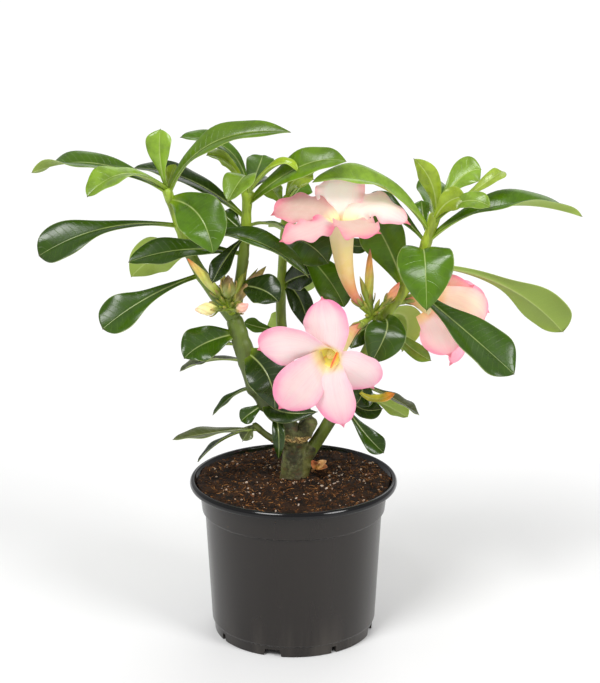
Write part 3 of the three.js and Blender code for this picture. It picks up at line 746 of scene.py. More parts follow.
CAUDEX_RINGS = [  # x, height and radius
    (0, 78, 8.6), (0, 92, 9.2), (0, 98, 8.9), (0, 106, 8), (0, 114, 7), (1, 121, 6.3),
    (2, 124, 6.9), (2, 126, 6.4), (2, 130, 6.8), (1, 134, 5),
]
KNOBS = [  # start, end and the radius at both: the lump, the cut branch and the stub at the foot
    ((0, -1, 124), (-2.5, -2, 134.5), 5.6, 4.6),
    ((3, -1, 126), (12, -6, 140), 6, 4.7),
    ((4, 0, 98.5), (9, -1, 109), 4.4, 3),
]
BARK_VOXEL = 0.55 * MM
SCAR_HEIGHT = 126.2
SCAR_WIDTH = 1.5
STUB_LEFT = 7.5  # the stub lies to the right of this
STUB_TOP = 110
STAIN_TOP = 106  # from here down to its foot the bark turns browner
STAIN_FOOT = 99
BARK_DARK = rgb(46, 48, 20)
BARK_GREEN = rgb(104, 108, 56)
BARK_PATCHES = (  # a layer of mottling, from where to where it counts, how much, and a colour
    ("Clouds", 0.5, 0.7, 0.55, rgb(130, 128, 84)),
    ("Clouds", 0.45, 0.34, 0.55, rgb(92, 62, 30)),
    ("Grain", 0.52, 0.68, 0.7, rgb(66, 44, 18)),
)
STUB_GREEN = rgb(122, 122, 52)
FOOT_BROWN = rgb(66, 50, 26)
SCAR_DARK = rgb(96, 64, 28)
SCAR_PALE = rgb(214, 182, 112)


def trunk():
    """The caudex, its knobs and the foot of each stem, grown into one skin with bark's relief."""
    rough = Skin()
    heights = [ring[1] for ring in CAUDEX_RINGS]
    axis = smooth_line([(x, 0, z) for x, z, _ in CAUDEX_RINGS])
    ways = np.linspace(0, 1, 60)
    radii = np.interp(on_line(axis, ways)[:, 2], heights, [ring[2] for ring in CAUDEX_RINGS])
    limb(rough, axis, ways, radii, 48)
    for start, end, first, last in KNOBS:
        line = bezier(start, np.mean([start, end], axis=0) + [0.8, 0, 0], end)
        ways = np.linspace(0, 1, 16)
        closing = rounded_end((ways - 0.86) / 0.15, 0.05)
        limb(rough, line, ways, (first + (last - first) * ways) * closing, 32)
    for name, stop in TRUNK_CUTS.items():
        line, (root, tip) = smooth_line(STEMS[name][0]), STEMS[name][1]
        ways = np.linspace(0, stop * 1.06, 14)
        flare = 1.06 + 0.16 * (1 - ways / ways[-1]) ** 2
        limb(rough, line, ways, (root + (tip - root) * ways) * flare, 24)
    piece = placed("caudex", rough.mesh("caudex"))
    remesh = piece.modifiers.new("one skin", "REMESH")
    remesh.mode = "VOXEL"
    remesh.voxel_size = BARK_VOXEL
    soften = piece.modifiers.new("soften", "SMOOTH")
    soften.iterations = 9
    soften.factor = 0.6
    baked(piece)
    for vertex in piece.data.vertices:
        place = vertex.co / MM
        swell = noise.noise(place * 0.16) * 0.55 + noise.noise(place * 0.5) * 0.22
        creases = abs(noise.noise(Vector((place.x * 0.7, place.y * 0.7, place.z * 2.1)))) * -0.35
        scar = math.exp(-((place.z - SCAR_HEIGHT - 0.12 * place.x) / SCAR_WIDTH) ** 2)
        rugged = scar * (0.35 + noise.noise(place * 1.6) * 0.5)
        vertex.co += vertex.normal * (swell + creases + rugged) * MM
    piece.data.shade_smooth()
    return piece


def bark():
    """Mottled grey-green bark, browner at the soil, with the pale ragged ring of the scar."""
    material, nodes, shader = new_material("caudex bark", Roughness=0.62)
    fine = mottle(nodes, 230.0, 0.6, 900.0)
    wide = mottle(nodes, 110.0, 1.5, 420.0)
    x, _, rise = nodes.split(nodes.place())
    colour = nodes.mix(nodes.ramp(wide["Clouds"], 0.36, 0.62), BARK_DARK, BARK_GREEN)
    for layer, low, high, share, patch in BARK_PATCHES:
        colour = nodes.mix(nodes.ramp(fine[layer], low, high, 0.0, share), colour, patch)
    right = nodes.ramp(x, (STUB_LEFT - 3) * MM, STUB_LEFT * MM)
    stub = nodes.times(right, nodes.ramp(rise, (STUB_TOP + 4) * MM, STUB_TOP * MM))
    colour = nodes.mix(nodes.times(stub, 0.6), colour, STUB_GREEN)
    stain = nodes.ramp(rise, STAIN_TOP * MM, STAIN_FOOT * MM)
    colour = nodes.mix(nodes.times(stain, 0.55), colour, FOOT_BROWN)
    ragged = nodes.times(nodes.minus(fine["Clouds"], 0.5), 9 * MM)
    level = nodes.plus(rise, ragged)
    away = nodes.maths("ABSOLUTE", nodes.minus(level, (SCAR_HEIGHT + 0.4) * MM))
    scar = nodes.ramp(away, 2.6 * MM, 0.9 * MM)
    dry = nodes.mix(nodes.ramp(fine["Grain"], 0.38, 0.62), SCAR_DARK, SCAR_PALE)
    colour = nodes.mix(scar, colour, dry)
    height = nodes.plus(fine["Height"], nodes.times(scar, fine["Grain"]))
    normal = bump(nodes, height, 0.0005, 0.7)
    drive(nodes, shader, Base_Color=colour, Normal=normal)
    return material


caudex = trunk()
caudex.data.materials.clear()
caudex.data.materials.append(bark())
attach(caudex, "root")
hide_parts("trunk")

# ---------------------------------------------------------------- stems and flower stalks
# Green succulent stems, thick below and paler at their tips, faintly ridged, swollen where a
# leaf sits and flecked with brown. The short stalks of the flowers fork from them.

STALKS = {  # start, end and the radius at both
    "right": ((55, -5, 204), (48, -10, 207), 2.4, 2.6),
    "bloom_upright": ((48, -10, 207), (41, -13, 215), 1.6, 2.4),
    "bud_right_long": ((48, -10, 207), (46.5, -9, 214), 1.5, 1.8),
    "bud_right_peach": ((48, -10, 207), (56, -11, 216), 1.3, 1.7),
    "bloom_front": ((48, -10, 207), (40, -20, 204), 1.8, 2.5),
    "bloom_right": ((61, -2, 213), (68, 1, 214), 1.8, 2.5),
    "left": ((-37, -2, 207), (-39, -10, 212), 2.6, 2.8),
    "bud_left_long": ((-39, -10, 212), (-44, -12, 220), 1.4, 1.9),
    "bud_left_fat": ((-39, -10, 212), (-46, -15, 213), 1.4, 2),
    "bud_left_pink": ((-39, -10, 212), (-34, -15, 213), 1.3, 1.6),
    "bud_left_dried": ((-39, -10, 212), (-39, -14, 220), 1.5, 2),
}
STEM_YOUNG = rgb(150, 178, 38)
STEM_TONES = {  # each stem's green at its root and at its tip
    "main": (rgb(54, 62, 22), rgb(98, 118, 38)),
    "left": (rgb(100, 122, 40), rgb(170, 198, 62)),
    "middle": (rgb(104, 122, 34), rgb(168, 196, 48)),
    # The back stem's greens are partly its own and partly painted light, raised to lift it where
    # the leaves shade it.
    "back": (rgb(118, 140, 38), rgb(150, 174, 44)),
    "right": (rgb(98, 112, 38), rgb(184, 208, 60)),
    "sprig": (rgb(62, 66, 30), rgb(104, 116, 48)),
}
STALK_GREEN = rgb(152, 170, 58)
STEM_STREAK = rgb(54, 56, 22)
STEM_FLECK = rgb(168, 158, 108)
STEM_SIDES = 28
STEM_STEP = 1.1  # how far apart the rings of a stem are
SWELLING = 2.6  # how far a stem is swollen on both sides of a leaf
STALK_SIDES = 20


def blend_colours(first, second, share):
    """One colour that turns into another, for each value of the share."""
    share = np.asarray(share, float)[..., None]
    return np.array(first) * (1 - share) + np.array(second) * share


def ringed(values, sides):
    """The value of each ring, for all the points of the ring."""
    return np.repeat(values[:, None], sides, axis=1)


def stem(name, swellings):
    """One stem from inside what carries it to its rounded growing tip."""
    points, (root, tip) = STEMS[name]
    line = smooth_line(points)
    length = steps_of(line).sum()
    ways = np.linspace(0, 1, int(length / STEM_STEP))
    radii = root + (tip - root) * ways
    for at in swellings:
        radii = radii * (1 + 0.1 * np.exp(-(((ways - at) * length / SWELLING) ** 2)))
    turns = round_turns(STEM_SIDES)
    ridges = 0.02 * np.cos(5 * turns + ways[:, None] * length / 14) + 0.012 * np.cos(3 * turns - 1)
    spots = [
        Vector((way * length * 0.13, math.cos(t) * 1.3, math.sin(t) * 1.3 + root))
        for way in ways
        for t in turns
    ]
    uneven = np.array([noise.noise(spot) for spot in spots]).reshape(ridges.shape)
    closing = rounded_end((ways - 1) * length / (tip * 1.1) + 1, 0.03)
    rings = radii[:, None] * (1 + ridges + 0.05 * uneven) * closing[:, None]
    age = np.clip(ways * 1.25 - 0.2, 0, 1) ** 1.3
    tones = ringed(blend_colours(*STEM_TONES[name], age), STEM_SIDES)
    skin = Skin()
    limb(skin, line, ways, rings, STEM_SIDES, tone=tones)
    return skin, line


def stem_skin():
    """Smooth green skin in the tone of each point, streaked along and flecked with brown."""
    material, nodes, shader = new_material(
        "stem skin", Roughness=0.42, Subsurface_Weight=0.06,
        Subsurface_Radius=(0.002, 0.003, 0.001),
    )
    marks = mottle(nodes, 210.0, 4.0, 1500.0)
    streaks = nodes.ramp(marks["Clouds"], 0.42, 0.68, 0.0, 0.55)
    flecks = nodes.ramp(marks["Grain"], 0.66, 0.76, 0.0, 0.5)
    colour = nodes.mix(streaks, nodes.attribute("tone"), STEM_STREAK)
    colour = nodes.mix(flecks, colour, STEM_FLECK)
    normal = bump(nodes, marks["Height"], 0.00022, 0.5)
    drive(nodes, shader, Base_Color=colour, Normal=normal)
    return material


def stalk(skin, name):
    """A flower stalk, a little bowed, with a swollen seat at its end."""
    start, end, first, last = STALKS[name]
    start, end = np.array(start, float), np.array(end, float)
    line = bezier(start, (start + end) / 2 + [0, 0, -0.6], end)
    ways = np.linspace(0, 1, 22)
    radii = first + (last - first) * ways**1.5 + 0.25 * np.exp(-(((ways - 0.9) / 0.1) ** 2))
    radii *= rounded_end(ways * 5 - 4.05, 0.12)
    tones = ringed(blend_colours(STEM_YOUNG, STALK_GREEN, ways), STALK_SIDES)
    limb(skin, line, ways, radii, STALK_SIDES, tone=tones)


# ---------------------------------------------------------------- leaves
# Thick leathery blades on short flat stalks, narrow at the foot and round at the end, with a
# small point. They are glossy green above, with a pale midrib and margin, and pale beneath,
# where the midrib stands out. Each grows from its stem, and the youngest are yellow-green.

LEAF_THICKNESS = 0.55
LEAF_FOLD = 0.22  # how far a blade's edges rise, against its half width
LEAF_WAVE = 0.09
LEAF_ROWS = 34
LEAF_STATIONS = (0, 0.3, 0.52, 0.72, 0.89, 1)  # where an edge is at the end of a wave
LEAF_POINT = ((0.3, 0.25), (0.7, 0.06))  # how far past the tip, and half how wide, its point is
VEIN_SPACING = 4.2
BLADE_COLUMNS = (0, 0.2, 0.42, 0.64, 0.83, 0.95, 1)  # from beside the rib to the edge
GREENS = {
    "deep": rgb(34, 56, 6),
    "dark": rgb(52, 82, 6),
    "mid": rgb(80, 118, 8),
    "lime": rgb(106, 142, 26),
    "fresh": rgb(132, 166, 50),
    "young": rgb(166, 192, 48),
    "pale": rgb(156, 180, 60),
    "grey": rgb(88, 96, 54),
    "yellow": rgb(206, 196, 56),
}
LEAF_UNDER = rgb(172, 196, 88)
LEAF_SHADOW = rgb(34, 52, 8)
LEAF_LIGHT = rgb(170, 200, 90)
RIB_PALE = rgb(206, 220, 140)
AUTUMN_TIP = rgb(226, 112, 44)
BROWN_POINT = rgb(70, 60, 30)

# One row for each leaf: where on the stem it grows, a point half way along its rib, its tip,
# its width, the way that its upper face looks, where along it it is widest, and its green, and
# for some how far it folds and by how many degrees it twists towards its tip.
LEAVES = {
    "left": [
        (0.96, (-116, -8, 300), (-154, -14, 296), 22, (0, -0.6, 1), 0.7, "mid", 0.25, 95),
        (1, (-99, -18, 296), (-120, -30, 285), 23, (-0.3, -0.5, 1), 0.75, "fresh"),
        (1, (-79, -4, 302), (-79, 0, 319), 17.5, (-0.4, -1, 0.2), 0.78, "fresh"),
        (0.72, (-112, -8, 261), (-152, -12, 245), 27, (0, -0.6, 1), 0.84, "dark", 0.25, -25),
        (0.53, (-83, 16, 238), (-100, 20, 224), 26, (0, 1, 0.3), 0.6, "pale"),
        (0.36, (-87, -6, 218), (-115, -14, 200), 27, (-0.2, -0.8, 0.8), 0.84, "dark"),
        (0.95, (-48, -6, 312), (-2, -14, 320), 21, (-0.3, -0.5, 1), 0.62, "lime", 0.3, 0),
        (0.91, (-56, -24, 273), (-47, -34, 252), 29, (0, -1, 0.5), 0.6, "mid"),
        (0.63, (-26, -12, 255), (9, -16, 233), 18, (0, -0.3, 1), 0.62, "dark", 0.42, 0),
        (0.98, (-74, 6, 289), (-71, 10, 296), 9, (-0.5, -1, 0), 0.75, "young"),
        (0.92, (-64, 30, 264), (-56, 55, 247), 24, (0, -0.3, 1), 0.75, "dark"),
    ],
    "middle": [
        (0.76, (-63, 18, 285), (-96, 14, 293), 18, (0, -0.4, 1), 0.65, "deep"),
        (0.48, (-64, -9, 248), (-98, -16, 242), 20, (0, -0.7, 1), 0.72, "dark"),
        (0.96, (-39, 14, 304), (-67, 8, 313), 16, (0.2, -0.4, 1), 0.75, "mid"),
        (0.91, (-37, 18, 293), (-52, 14, 301), 14, (0.2, -0.5, 1), 0.75, "young"),
        (0.94, (-28, -14, 294), (-38, -28, 282), 20, (-0.3, -0.7, 1), 0.75, "fresh"),
        (0.87, (4, -12, 299), (31, -16, 303), 21, (-0.1, -0.7, 0.9), 0.6, "lime"),
        (0.98, (-9, -10, 300), (3, -14, 296), 8, (0, -0.4, 1), 0.6, "young", 0.5, 0),
        (0.97, (-21, 24, 292), (-19, 34, 297), 17, (0, -1, 0.8), 0.6, "mid"),
        (0.7, (-15, 0, 262), (3, -8, 256), 14, (0, 0.2, 1), 0.75, "mid"),
        (0.65, (-37, 8, 261), (-43, 12, 266), 16, (0, -1, 0.5), 0.75, "dark"),
        (0.62, (-39, -12, 245), (-48, -22, 231), 13, (-0.4, -1, 0.3), 0.75, "deep"),
        (0.23, (-19, -12, 224), (-9, -18, 218), 21, (0, -1, 0.7), 0.6, "deep"),
        (0.97, (-19, 24, 284), (-12, 48, 278), 22, (0, -0.3, 1), 0.75, "dark"),
    ],
    "back": [
        (0.98, (11, 26, 289), (24, 22, 295), 18, (0, -0.4, 1), 0.75, "fresh"),
        (0.98, (1, 26, 283), (12, 20, 285), 16, (-0.2, -0.8, 0.6), 0.75, "young"),
        (0.94, (-11, 26, 275), (-15, 20, 282), 14, (-0.3, -1, 0.3), 0.75, "fresh"),
        (0.94, (2, 44, 272), (8, 50, 278), 16, (0, -1, 0.2), 0.75, "mid"),
        (0.63, (4, 32, 221), (16, 24, 224), 20, (0, -1, 0.6), 0.6, "deep"),
        (0.64, (3, 36, 207), (10, 26, 187), 15, (-0.2, -1, 0.2), 0.6, "deep"),
        (0.82, (8, 8, 248), (21, 2, 237), 30, (0, -1, 0.6), 0.62, "dark"),
        (0.84, (18, 16, 228), (31, 4, 209), 22, (0.1, -1, 0.4), 0.72, "mid"),
        (0.88, (32, 26, 243), (43.5, 24, 244), 10, (0, -1, 0.5), 0.7, "dark"),
        (0.42, (-11, 54, 179), (-17, 62, 178), 25, (0, 1, 0), 0.55, "pale"),
        (0.45, (-20, 34, 187), (-31, 28, 192), 10, (0, -0.9, 0.8), 0.75, "mid"),
        (0.89, (-5, 62, 246), (-1, 86, 236), 26, (0, 0.2, 1), 0.75, "mid"),
        (0.63, (-1, 62, 211), (4, 84, 195), 26, (0, 0.2, 1), 0.75, "dark"),
    ],
    "main": [
        (0.86, (-53, -10, 190), (-66, -16, 182), 24, (-0.2, -1, 0.7), 0.62, "dark"),
        (0.78, (-44, 0, 186), (-53, 2, 180), 12, (0, 0.2, 1), 0.75, "pale"),
        (0.66, (-48, -2, 177), (-69, -6, 171), 20, (0, 0.1, 1), 0.75, "grey"),
        (0.73, (-16, -22, 174), (-11, -28, 154), 26, (0.1, -1, 0.3), 0.55, "deep"),
        (0.47, (-35, -8, 157), (-49, -12, 145), 10, (-0.3, -0.1, 1), 0.75, "deep"),
        (0.34, (-25, -10, 146), (-32, -10, 140), 11, (-0.2, -1, 0.6), 0.75, "dark"),
        (0.35, (-6, -20, 149), (14, -26, 151), 15, (0, -1, 0.6), 0.45, "deep"),
        (0.26, (-9, -20, 136), (-9, -20, 119), 8, (-0.2, -1, 0.2), 0.55, "deep"),
        (0.48, (-20, 22, 158), (-16, 50, 142), 22, (0, 0.2, 1), 0.75, "dark"),
    ],
    "sprig": [
        (0.79, (-44, -16, 135), (-73, -22, 132), 15, (0, -0.1, 1), 0.75, "grey"),
        (0.94, (-27, -10, 134), (-31, -12, 128), 10, (-0.5, -1, 0.2), 0.75, "grey"),
        (0.85, (-42, -4, 127), (-59, -8, 113), 11, (-0.3, 0.1, 1), 0.75, "deep"),
    ],
    "right": [
        (0.37, (42, -14, 161), (38, -20, 154), 16, (0.2, -1, 0.3), 0.75, "deep"),
        (0.35, (47, -24, 159), (61, -30, 164), 8, (0, -0.55, 1), 0.75, "yellow"),
        (0.36, (60, -10, 155), (77, -10, 144), 16, (0.2, -0.1, 1), 0.75, "grey"),
        (0.34, (57, 2, 147), (71, 4, 138), 16, (0.1, 1, 0.8), 0.75, "pale"),
        (0.31, (41, -16, 150), (54, -20, 151), 14, (0, -0.9, 0.9), 0.75, "deep"),
        (0.28, (42, -8, 134), (55.5, -12, 120), 14, (0.4, -1, 0.5), 0.8, "dark"),
        (0.85, (78, -24, 247), (79, -36, 218), 34, (0, -1, 0.7), 0.62, "mid"),
        (0.74, (101, -22, 203), (132, -32, 177), 33, (0.4, -0.8, 0.8), 0.76, "dark"),
        (0.81, (127, 15, 221), (168, 22, 188), 32, (0.4, 1, 0.5), 0.86, "mid"),
        (0.6, (56, -20, 200), (47, -22, 181), 25, (0, -1, 0.3), 0.6, "dark"),
        (0.62, (70, 16, 198), (68, 20, 176), 20, (0.2, 1, 0.1), 0.6, "pale"),
        (0.6, (68.5, 0, 187), (84, -4, 177), 11, (0.3, -1, 0.6), 0.75, "fresh"),
        (0.57, (41, -12, 198), (35, -18, 189), 14, (0, -1, 0.3), 0.75, "dark"),
        (0.93, (51, -8, 287), (12, -18, 291), 22, (0, -0.35, 1), 0.65, "fresh", 0.4, 0),
        (0.89, (63, 6, 267), (46, 6, 278), 15, (-0.2, -0.7, 1), 0.75, "mid"),
        (0.91, (79, 10, 265), (78, 14, 273), 12, (-0.5, -1, 0.2), 0.75, "mid"),
        (0.72, (56, 10, 249), (44, 16, 265), 28, (-0.3, -1, 0.4), 0.6, "mid"),
        (0.99, (83, 0, 286), (72, -4, 302), 13, (0.3, -1, 0.2), 0.65, "young"),
        (0.99, (100, 13, 286), (114, 20, 291), 20, (-0.2, -1, 0.7), 0.75, "fresh"),
        (0.97, (113, -7, 287), (125, -2, 294), 11, (0.1, -0.5, 1), 0.75, "pale"),
        (0.96, (91, -9, 276), (102, -12, 281), 15, (0, -1, 0.5), 0.75, "young"),
        (0.95, (100, -14, 278), (116, -22, 277), 13, (0, -0.8, 0.8), 0.75, "fresh"),
        (0.89, (121, -8, 274), (171, -16, 270), 25, (0, -0.4, 1), 0.7, "mid", 0.45, -65),
        (0.85, (82, 26, 232), (85, 52, 211), 26, (0, 0.2, 1), 0.75, "dark"),
        (0.98, (84, 22, 273), (86, 42, 281), 18, (0, -0.5, 1), 0.75, "mid"),
        (0.54, (57, 24, 190), (57, 50, 171), 26, (0, 0.2, 1), 0.75, "mid"),
        (0.33, (25, 26, 159), (16, 54, 142), 28, (0, 0.2, 1), 0.75, "dark"),
    ],
}


def blade(
    skin, arc, face, ways, halves, lift, thickness, rib, relief, paint, veins=0.0, twist=0, sink=0
):
    """A thin closed blade along the arc through three points. halves and rib are the half widths
    of the blade and of its midrib, lift the height of the middle surface across it, relief how
    deep the rib is grooved above and how far it stands out below, and paint its colours. It can
    twist towards its tip, by radians, and sink is how its middle line departs from the arc."""

    def both(upper, lower):
        """What belongs to the upper side, and then to the lower side on the way back."""
        return np.concatenate([upper, lower[:, ::-1]], axis=1)

    base, via, tip = (np.array(p, float) for p in arc)
    bend = 2 * via - (base + tip) / 2
    t = ways[:, None]
    middle = (1 - t) ** 2 * base + 2 * t * (1 - t) * bend + t**2 * tip + sink
    along = unit(np.gradient(middle, axis=0))
    face = np.array(face, float)
    up = unit(face - along * (along @ face)[:, None])
    side = np.cross(along, up)
    cos, sin = np.cos(twist * t**4), np.sin(twist * t**4)
    up, side = up * cos + side * sin, side * cos - up * sin
    rib = np.minimum(rib, 0.42 * halves)
    near = [0 * rib, 0.8 * rib, 1.5 * rib]
    far = [2.2 * rib + (halves - 2.2 * rib) * share for share in BLADE_COLUMNS]
    one = np.stack([*near, *far], axis=1)
    across = np.concatenate([-one[:, :0:-1], one], axis=1)
    u = across / halves[:, None]
    mid = middle[:, None] + side[:, None] * across[..., None]
    mid = mid + up[:, None] * lift(u, t)[..., None]
    normal = unit(np.cross(np.gradient(mid, axis=1), np.gradient(mid, axis=0)))
    normal *= np.sign(np.sum(normal * up[:, None], axis=-1, keepdims=True))
    edge = 1 - 0.55 * np.abs(u) ** 10
    core = np.exp(-((across / rib[:, None]) ** 2))
    thickness, groove, keel = (
        np.broadcast_to(size, ways.shape)[:, None] for size in (thickness, *relief)
    )
    upper = thickness / 2 * edge - groove * core
    lower = thickness / 2 * edge + keel * core
    rings = both(mid + normal * upper[..., None], mid - normal * lower[..., None])
    tones = both(paint(u, t, core, 0), paint(u, t, core, 1))
    down = np.broadcast_to(t, u.shape)
    place = np.stack([u, down, down * veins], -1)
    under = both(np.zeros_like(u), np.ones_like(u))[..., None]
    skin.loft(rings, thin=True, tone=tones, blade=both(place, place), under=under)


def leaf_outline(way, widest):
    """The half width along a leaf: a narrow foot, and the rounder an end the later the widest."""
    power = math.log(0.5) / math.log(widest)
    fullness = 0.85 - 1.1 * max(widest - 0.66, 0)
    arch = np.sin(np.pi * np.minimum(way, 0.999) ** power) ** fullness
    return 0.1 * (1 - way) + 0.03 + 0.93 * arch


def pointed(ways, halves, point, reach):
    """The ways and the half widths of a blade, with the small point that it ends in."""
    lengths, widths = np.transpose(point)
    return np.concatenate([ways, 1 + lengths / reach]), np.concatenate([halves, widths])


def leaf(skin, base, via, tip, width, face, widest, green, fold=LEAF_FOLD, twist=0, seed=0):
    """One leaf from its stem through the point half way to its tip, folded along its rib."""
    reach = np.linalg.norm(np.array(tip) - np.array(base, float)) * 1.05
    plain = 1 - (1 - np.linspace(0, 1, LEAF_ROWS)) ** 1.6
    ways, halves = pointed(plain, width / 2 * leaf_outline(plain, widest), LEAF_POINT, reach)
    inner = np.minimum(ways, 1)
    wave = -np.cos(np.pi * np.interp(inner, LEAF_STATIONS, range(6)))
    flutter = 0.025 * np.sin(inner * 17 + seed * 1.7)

    def lift(u, way):
        rise = np.sin(1.75 * np.abs(u)) / math.sin(1.75) * np.abs(u) / (np.abs(u) + 0.06)
        edges = np.sign(u) * wave[:, None] * LEAF_WAVE * u**2
        edges = edges + flutter[:, None] * np.abs(u) ** 3
        return halves[:, None] * (fold * rise + edges)

    def paint(u, way, core, under):
        top = np.array(GREENS[green])
        shade = 0.9 + 0.14 * np.sin(seed * 2.1) + 0.1 * np.sin(u * 2 + seed)
        colour = np.array(LEAF_UNDER if under else top) * shade[..., None]
        if under:
            colour = blend_colours(colour, top, 0.22)
            colour = blend_colours(colour, RIB_PALE, 0.6 * core**3)
        else:
            paler = 1 - 0.35 * np.clip(way, 0, 1)
            colour = blend_colours(colour, RIB_PALE, 0.68 * core**5 * paler)
        margin = np.clip((np.abs(u) - 0.965) / 0.03, 0, 1)
        colour = blend_colours(colour, RIB_PALE, margin * 0.45)
        colour = blend_colours(colour, STEM_YOUNG, np.clip(1 - way / 0.2, 0, 1) * 0.75)
        if green == "yellow":
            dying = 0.85 * np.clip((np.clip(way, 0, 1) - 0.7) / 0.25, 0, 1)
            colour = blend_colours(colour, AUTUMN_TIP, dying)
        return blend_colours(colour, BROWN_POINT, np.clip((way - 0.985) / 0.02, 0, 1) * 0.7)

    rib = 0.82 * (1 - inner) ** 0.8 + 0.27
    thickness = LEAF_THICKNESS + 0.9 * (1 - inner) ** 5 - 0.25 * (ways > 1)
    keel = np.minimum(1.0 * (1 - inner) ** 1.3 + 0.12, halves * 0.7)
    groove = 0.2 * np.minimum(halves / 4, 1)
    blade(skin, (base, via, tip), face, ways, halves, lift, thickness, rib, (groove, keel), paint,
          reach / VEIN_SPACING, math.radians(twist))


def vein_group():
    """Side veins that leave a midrib in pairs and curve towards the tip: a mask of fine lines."""
    tree, nodes, entry = new_group(
        "side veins",
        "ShaderNodeTree",
        [("Blade", "Vector"), ("Slant", "Float", 1.3), ("Width", "Float", 0.08)],
        [("Lines", "Float")],
    )
    x, _, along = nodes.split(entry["Blade"])
    across = nodes.maths("ABSOLUTE", x)
    slant = nodes.times(nodes.maths("POWER", across, 1.3), entry["Slant"])
    stagger = nodes.times(nodes.maths("GREATER_THAN", x, 0.0), 0.37)
    phase = nodes.plus(nodes.minus(along, slant), stagger)
    distance = nodes.maths("ABSOLUTE", nodes.minus(nodes.maths("FRACT", phase), 0.5))
    line = nodes.ramp(nodes.maths("DIVIDE", distance, entry["Width"]), 1.0, 0.25)
    fade = nodes.times(nodes.ramp(across, 0.04, 0.12), nodes.ramp(across, 0.95, 0.6))
    nodes.add("NodeGroupOutput", {"Lines": nodes.times(line, fade)})
    return tree


VEINS = vein_group()


def leaf_skin():
    """Waxy leaf: each point's green, clouded, with pale side veins and a fine leathery grain."""
    material, nodes, shader = new_material(
        "adenium leaf", Specular_IOR_Level=0.42, Subsurface_Weight=0.04,
        Subsurface_Radius=(0.001, 0.002, 0.0005),
    )
    tone = nodes.attribute("tone")
    under = nodes.attribute("under", "Fac")
    inputs = {"Blade": nodes.attribute("blade", "Vector"), "Slant": 1.35, "Width": 0.06}
    veins = nodes.add("ShaderNodeGroup", inputs, node_tree=VEINS).outputs["Lines"]
    clouds = mottle(nodes, 120.0, 1.0, 1500.0)
    cloudy = nodes.ramp(clouds["Clouds"], 0.4, 0.68, 0.0, 0.34)
    colour = nodes.mix(nodes.times(cloudy, nodes.ramp(under, 1.0, 0.0)), tone, LEAF_SHADOW)
    colour = nodes.mix(nodes.times(veins, 0.13), colour, nodes.mix(0.4, tone, LEAF_LIGHT))
    height = nodes.plus(nodes.times(veins, -0.5), nodes.times(clouds["Height"], 0.8))
    normal = bump(nodes, height, 0.00016, 0.7)
    waxy = nodes.ramp(clouds["Clouds"], 0.3, 0.7, 0.17, 0.28)
    rough = nodes.between(under, waxy, 0.52)
    drive(nodes, shader, Base_Color=colour, Roughness=rough, Normal=normal)
    return material


LEAF_SKIN = leaf_skin()
STEM_SKIN = stem_skin()
STALKS_OF = {
    "right": [
        "right", "bloom_upright", "bud_right_long", "bud_right_peach", "bloom_front", "bloom_right",
    ],
    "main": ["left", "bud_left_long", "bud_left_fat", "bud_left_pink", "bud_left_dried"],
}

for name, rows in LEAVES.items():
    wood, line = stem(name, [row[0] for row in rows])
    for stalk_name in STALKS_OF.get(name, []):
        stalk(wood, stalk_name)
    node = "sprig" if name == "sprig" else f"stem_{name}"
    wood.piece(f"{node}_wood", STEM_SKIN, "foliage", node)
    foliage = Skin()
    for number, (at, *shape) in enumerate(rows):
        leaf(foliage, on_line(line, at), *shape, seed=number + len(rows))
    foliage.piece(f"{node}_leaves", LEAF_SKIN, "foliage", node)

# ---------------------------------------------------------------- blooms
# Each bloom is a fleshy funnel, red-pink at its seat and cream above, that opens into five
# overlapping satin petals, cream to white with rose margins and a tiny point. The throat is
# yellow-green with orange-red stripes, round a cone of anthers. Five green sepals hold it.

SEAT_GAP = 0.3  # between a stalk's seat and what grows on it
FUNNEL_SIDES = 40
PETAL_ROWS = 36
PETAL_THICKNESS = 0.45
PETAL_POINT = (  # the same as LEAF_POINT, for a petal
    (0.5, 1.3), (1.1, 0.7), (1.9, 0.12),
)
CLAW = 4.6  # how far a petal's foot reaches down into the throat
LIP_UNDER = 2.6  # how far under the petals the tube itself ends
THROAT_DEPTH = 9.5  # from the mouth down to the floor that the anthers stand on
CREAM = rgb(228, 206, 204)
FRONT_COLOURS = (CREAM, rgb(228, 124, 166), rgb(224, 210, 138))
UPRIGHT_COLOURS = (rgb(238, 222, 214), rgb(220, 122, 144), rgb(240, 232, 180))
RIGHT_COLOURS = (rgb(250, 222, 212), rgb(240, 136, 166), rgb(244, 196, 136))
FLUSH_PINK = rgb(220, 84, 128)
GUIDE_RED = rgb(216, 84, 40)
POINT_SHADE = (0.8, 0.5, 0.5, 1)  # how much darker a petal's small point is
VEIN_SHADE = rgb(250, 190, 200)
TUBE_OUTSIDE = [
    (0, rgb(190, 92, 80)), (0.16, rgb(206, 132, 92)), (0.4, rgb(208, 180, 108)),
    (0.7, rgb(214, 200, 138)), (1, rgb(228, 212, 184)),
]
THROAT = [
    (0.6, rgb(150, 142, 34)), (0.82, rgb(206, 196, 70)), (0.95, rgb(236, 226, 110)),
    (1, rgb(240, 232, 150)),
]
THROAT_STRIPE = rgb(206, 84, 30)
ANTHERS = [(0, rgb(206, 190, 90)), (0.7, rgb(232, 220, 140)), (1, rgb(226, 196, 112))]
SEPAL_GREEN = rgb(138, 160, 66)
SEPAL_TIP = rgb(196, 150, 84)
FOLD_YELLOW = rgb(236, 176, 60)
FOLD_RED = rgb(204, 66, 30)
ANTHER_SIDES = 9
FOLD_LINE = ((26, -59, 198.4), (24.2, -58.4, 193.6), (22, -58.6, 188.8))
PETALS_PER_BLOOM = 5


def growth(name, tip, lead):
    """The line of what grows on a stalk: it leaves the seat straight, then turns to its tip."""
    start, seat = (np.array(p, float) for p in STALKS[name][:2])
    along = unit(seat - start)
    begin = seat + along * SEAT_GAP
    return even(bezier(begin, begin + along * lead, tip))


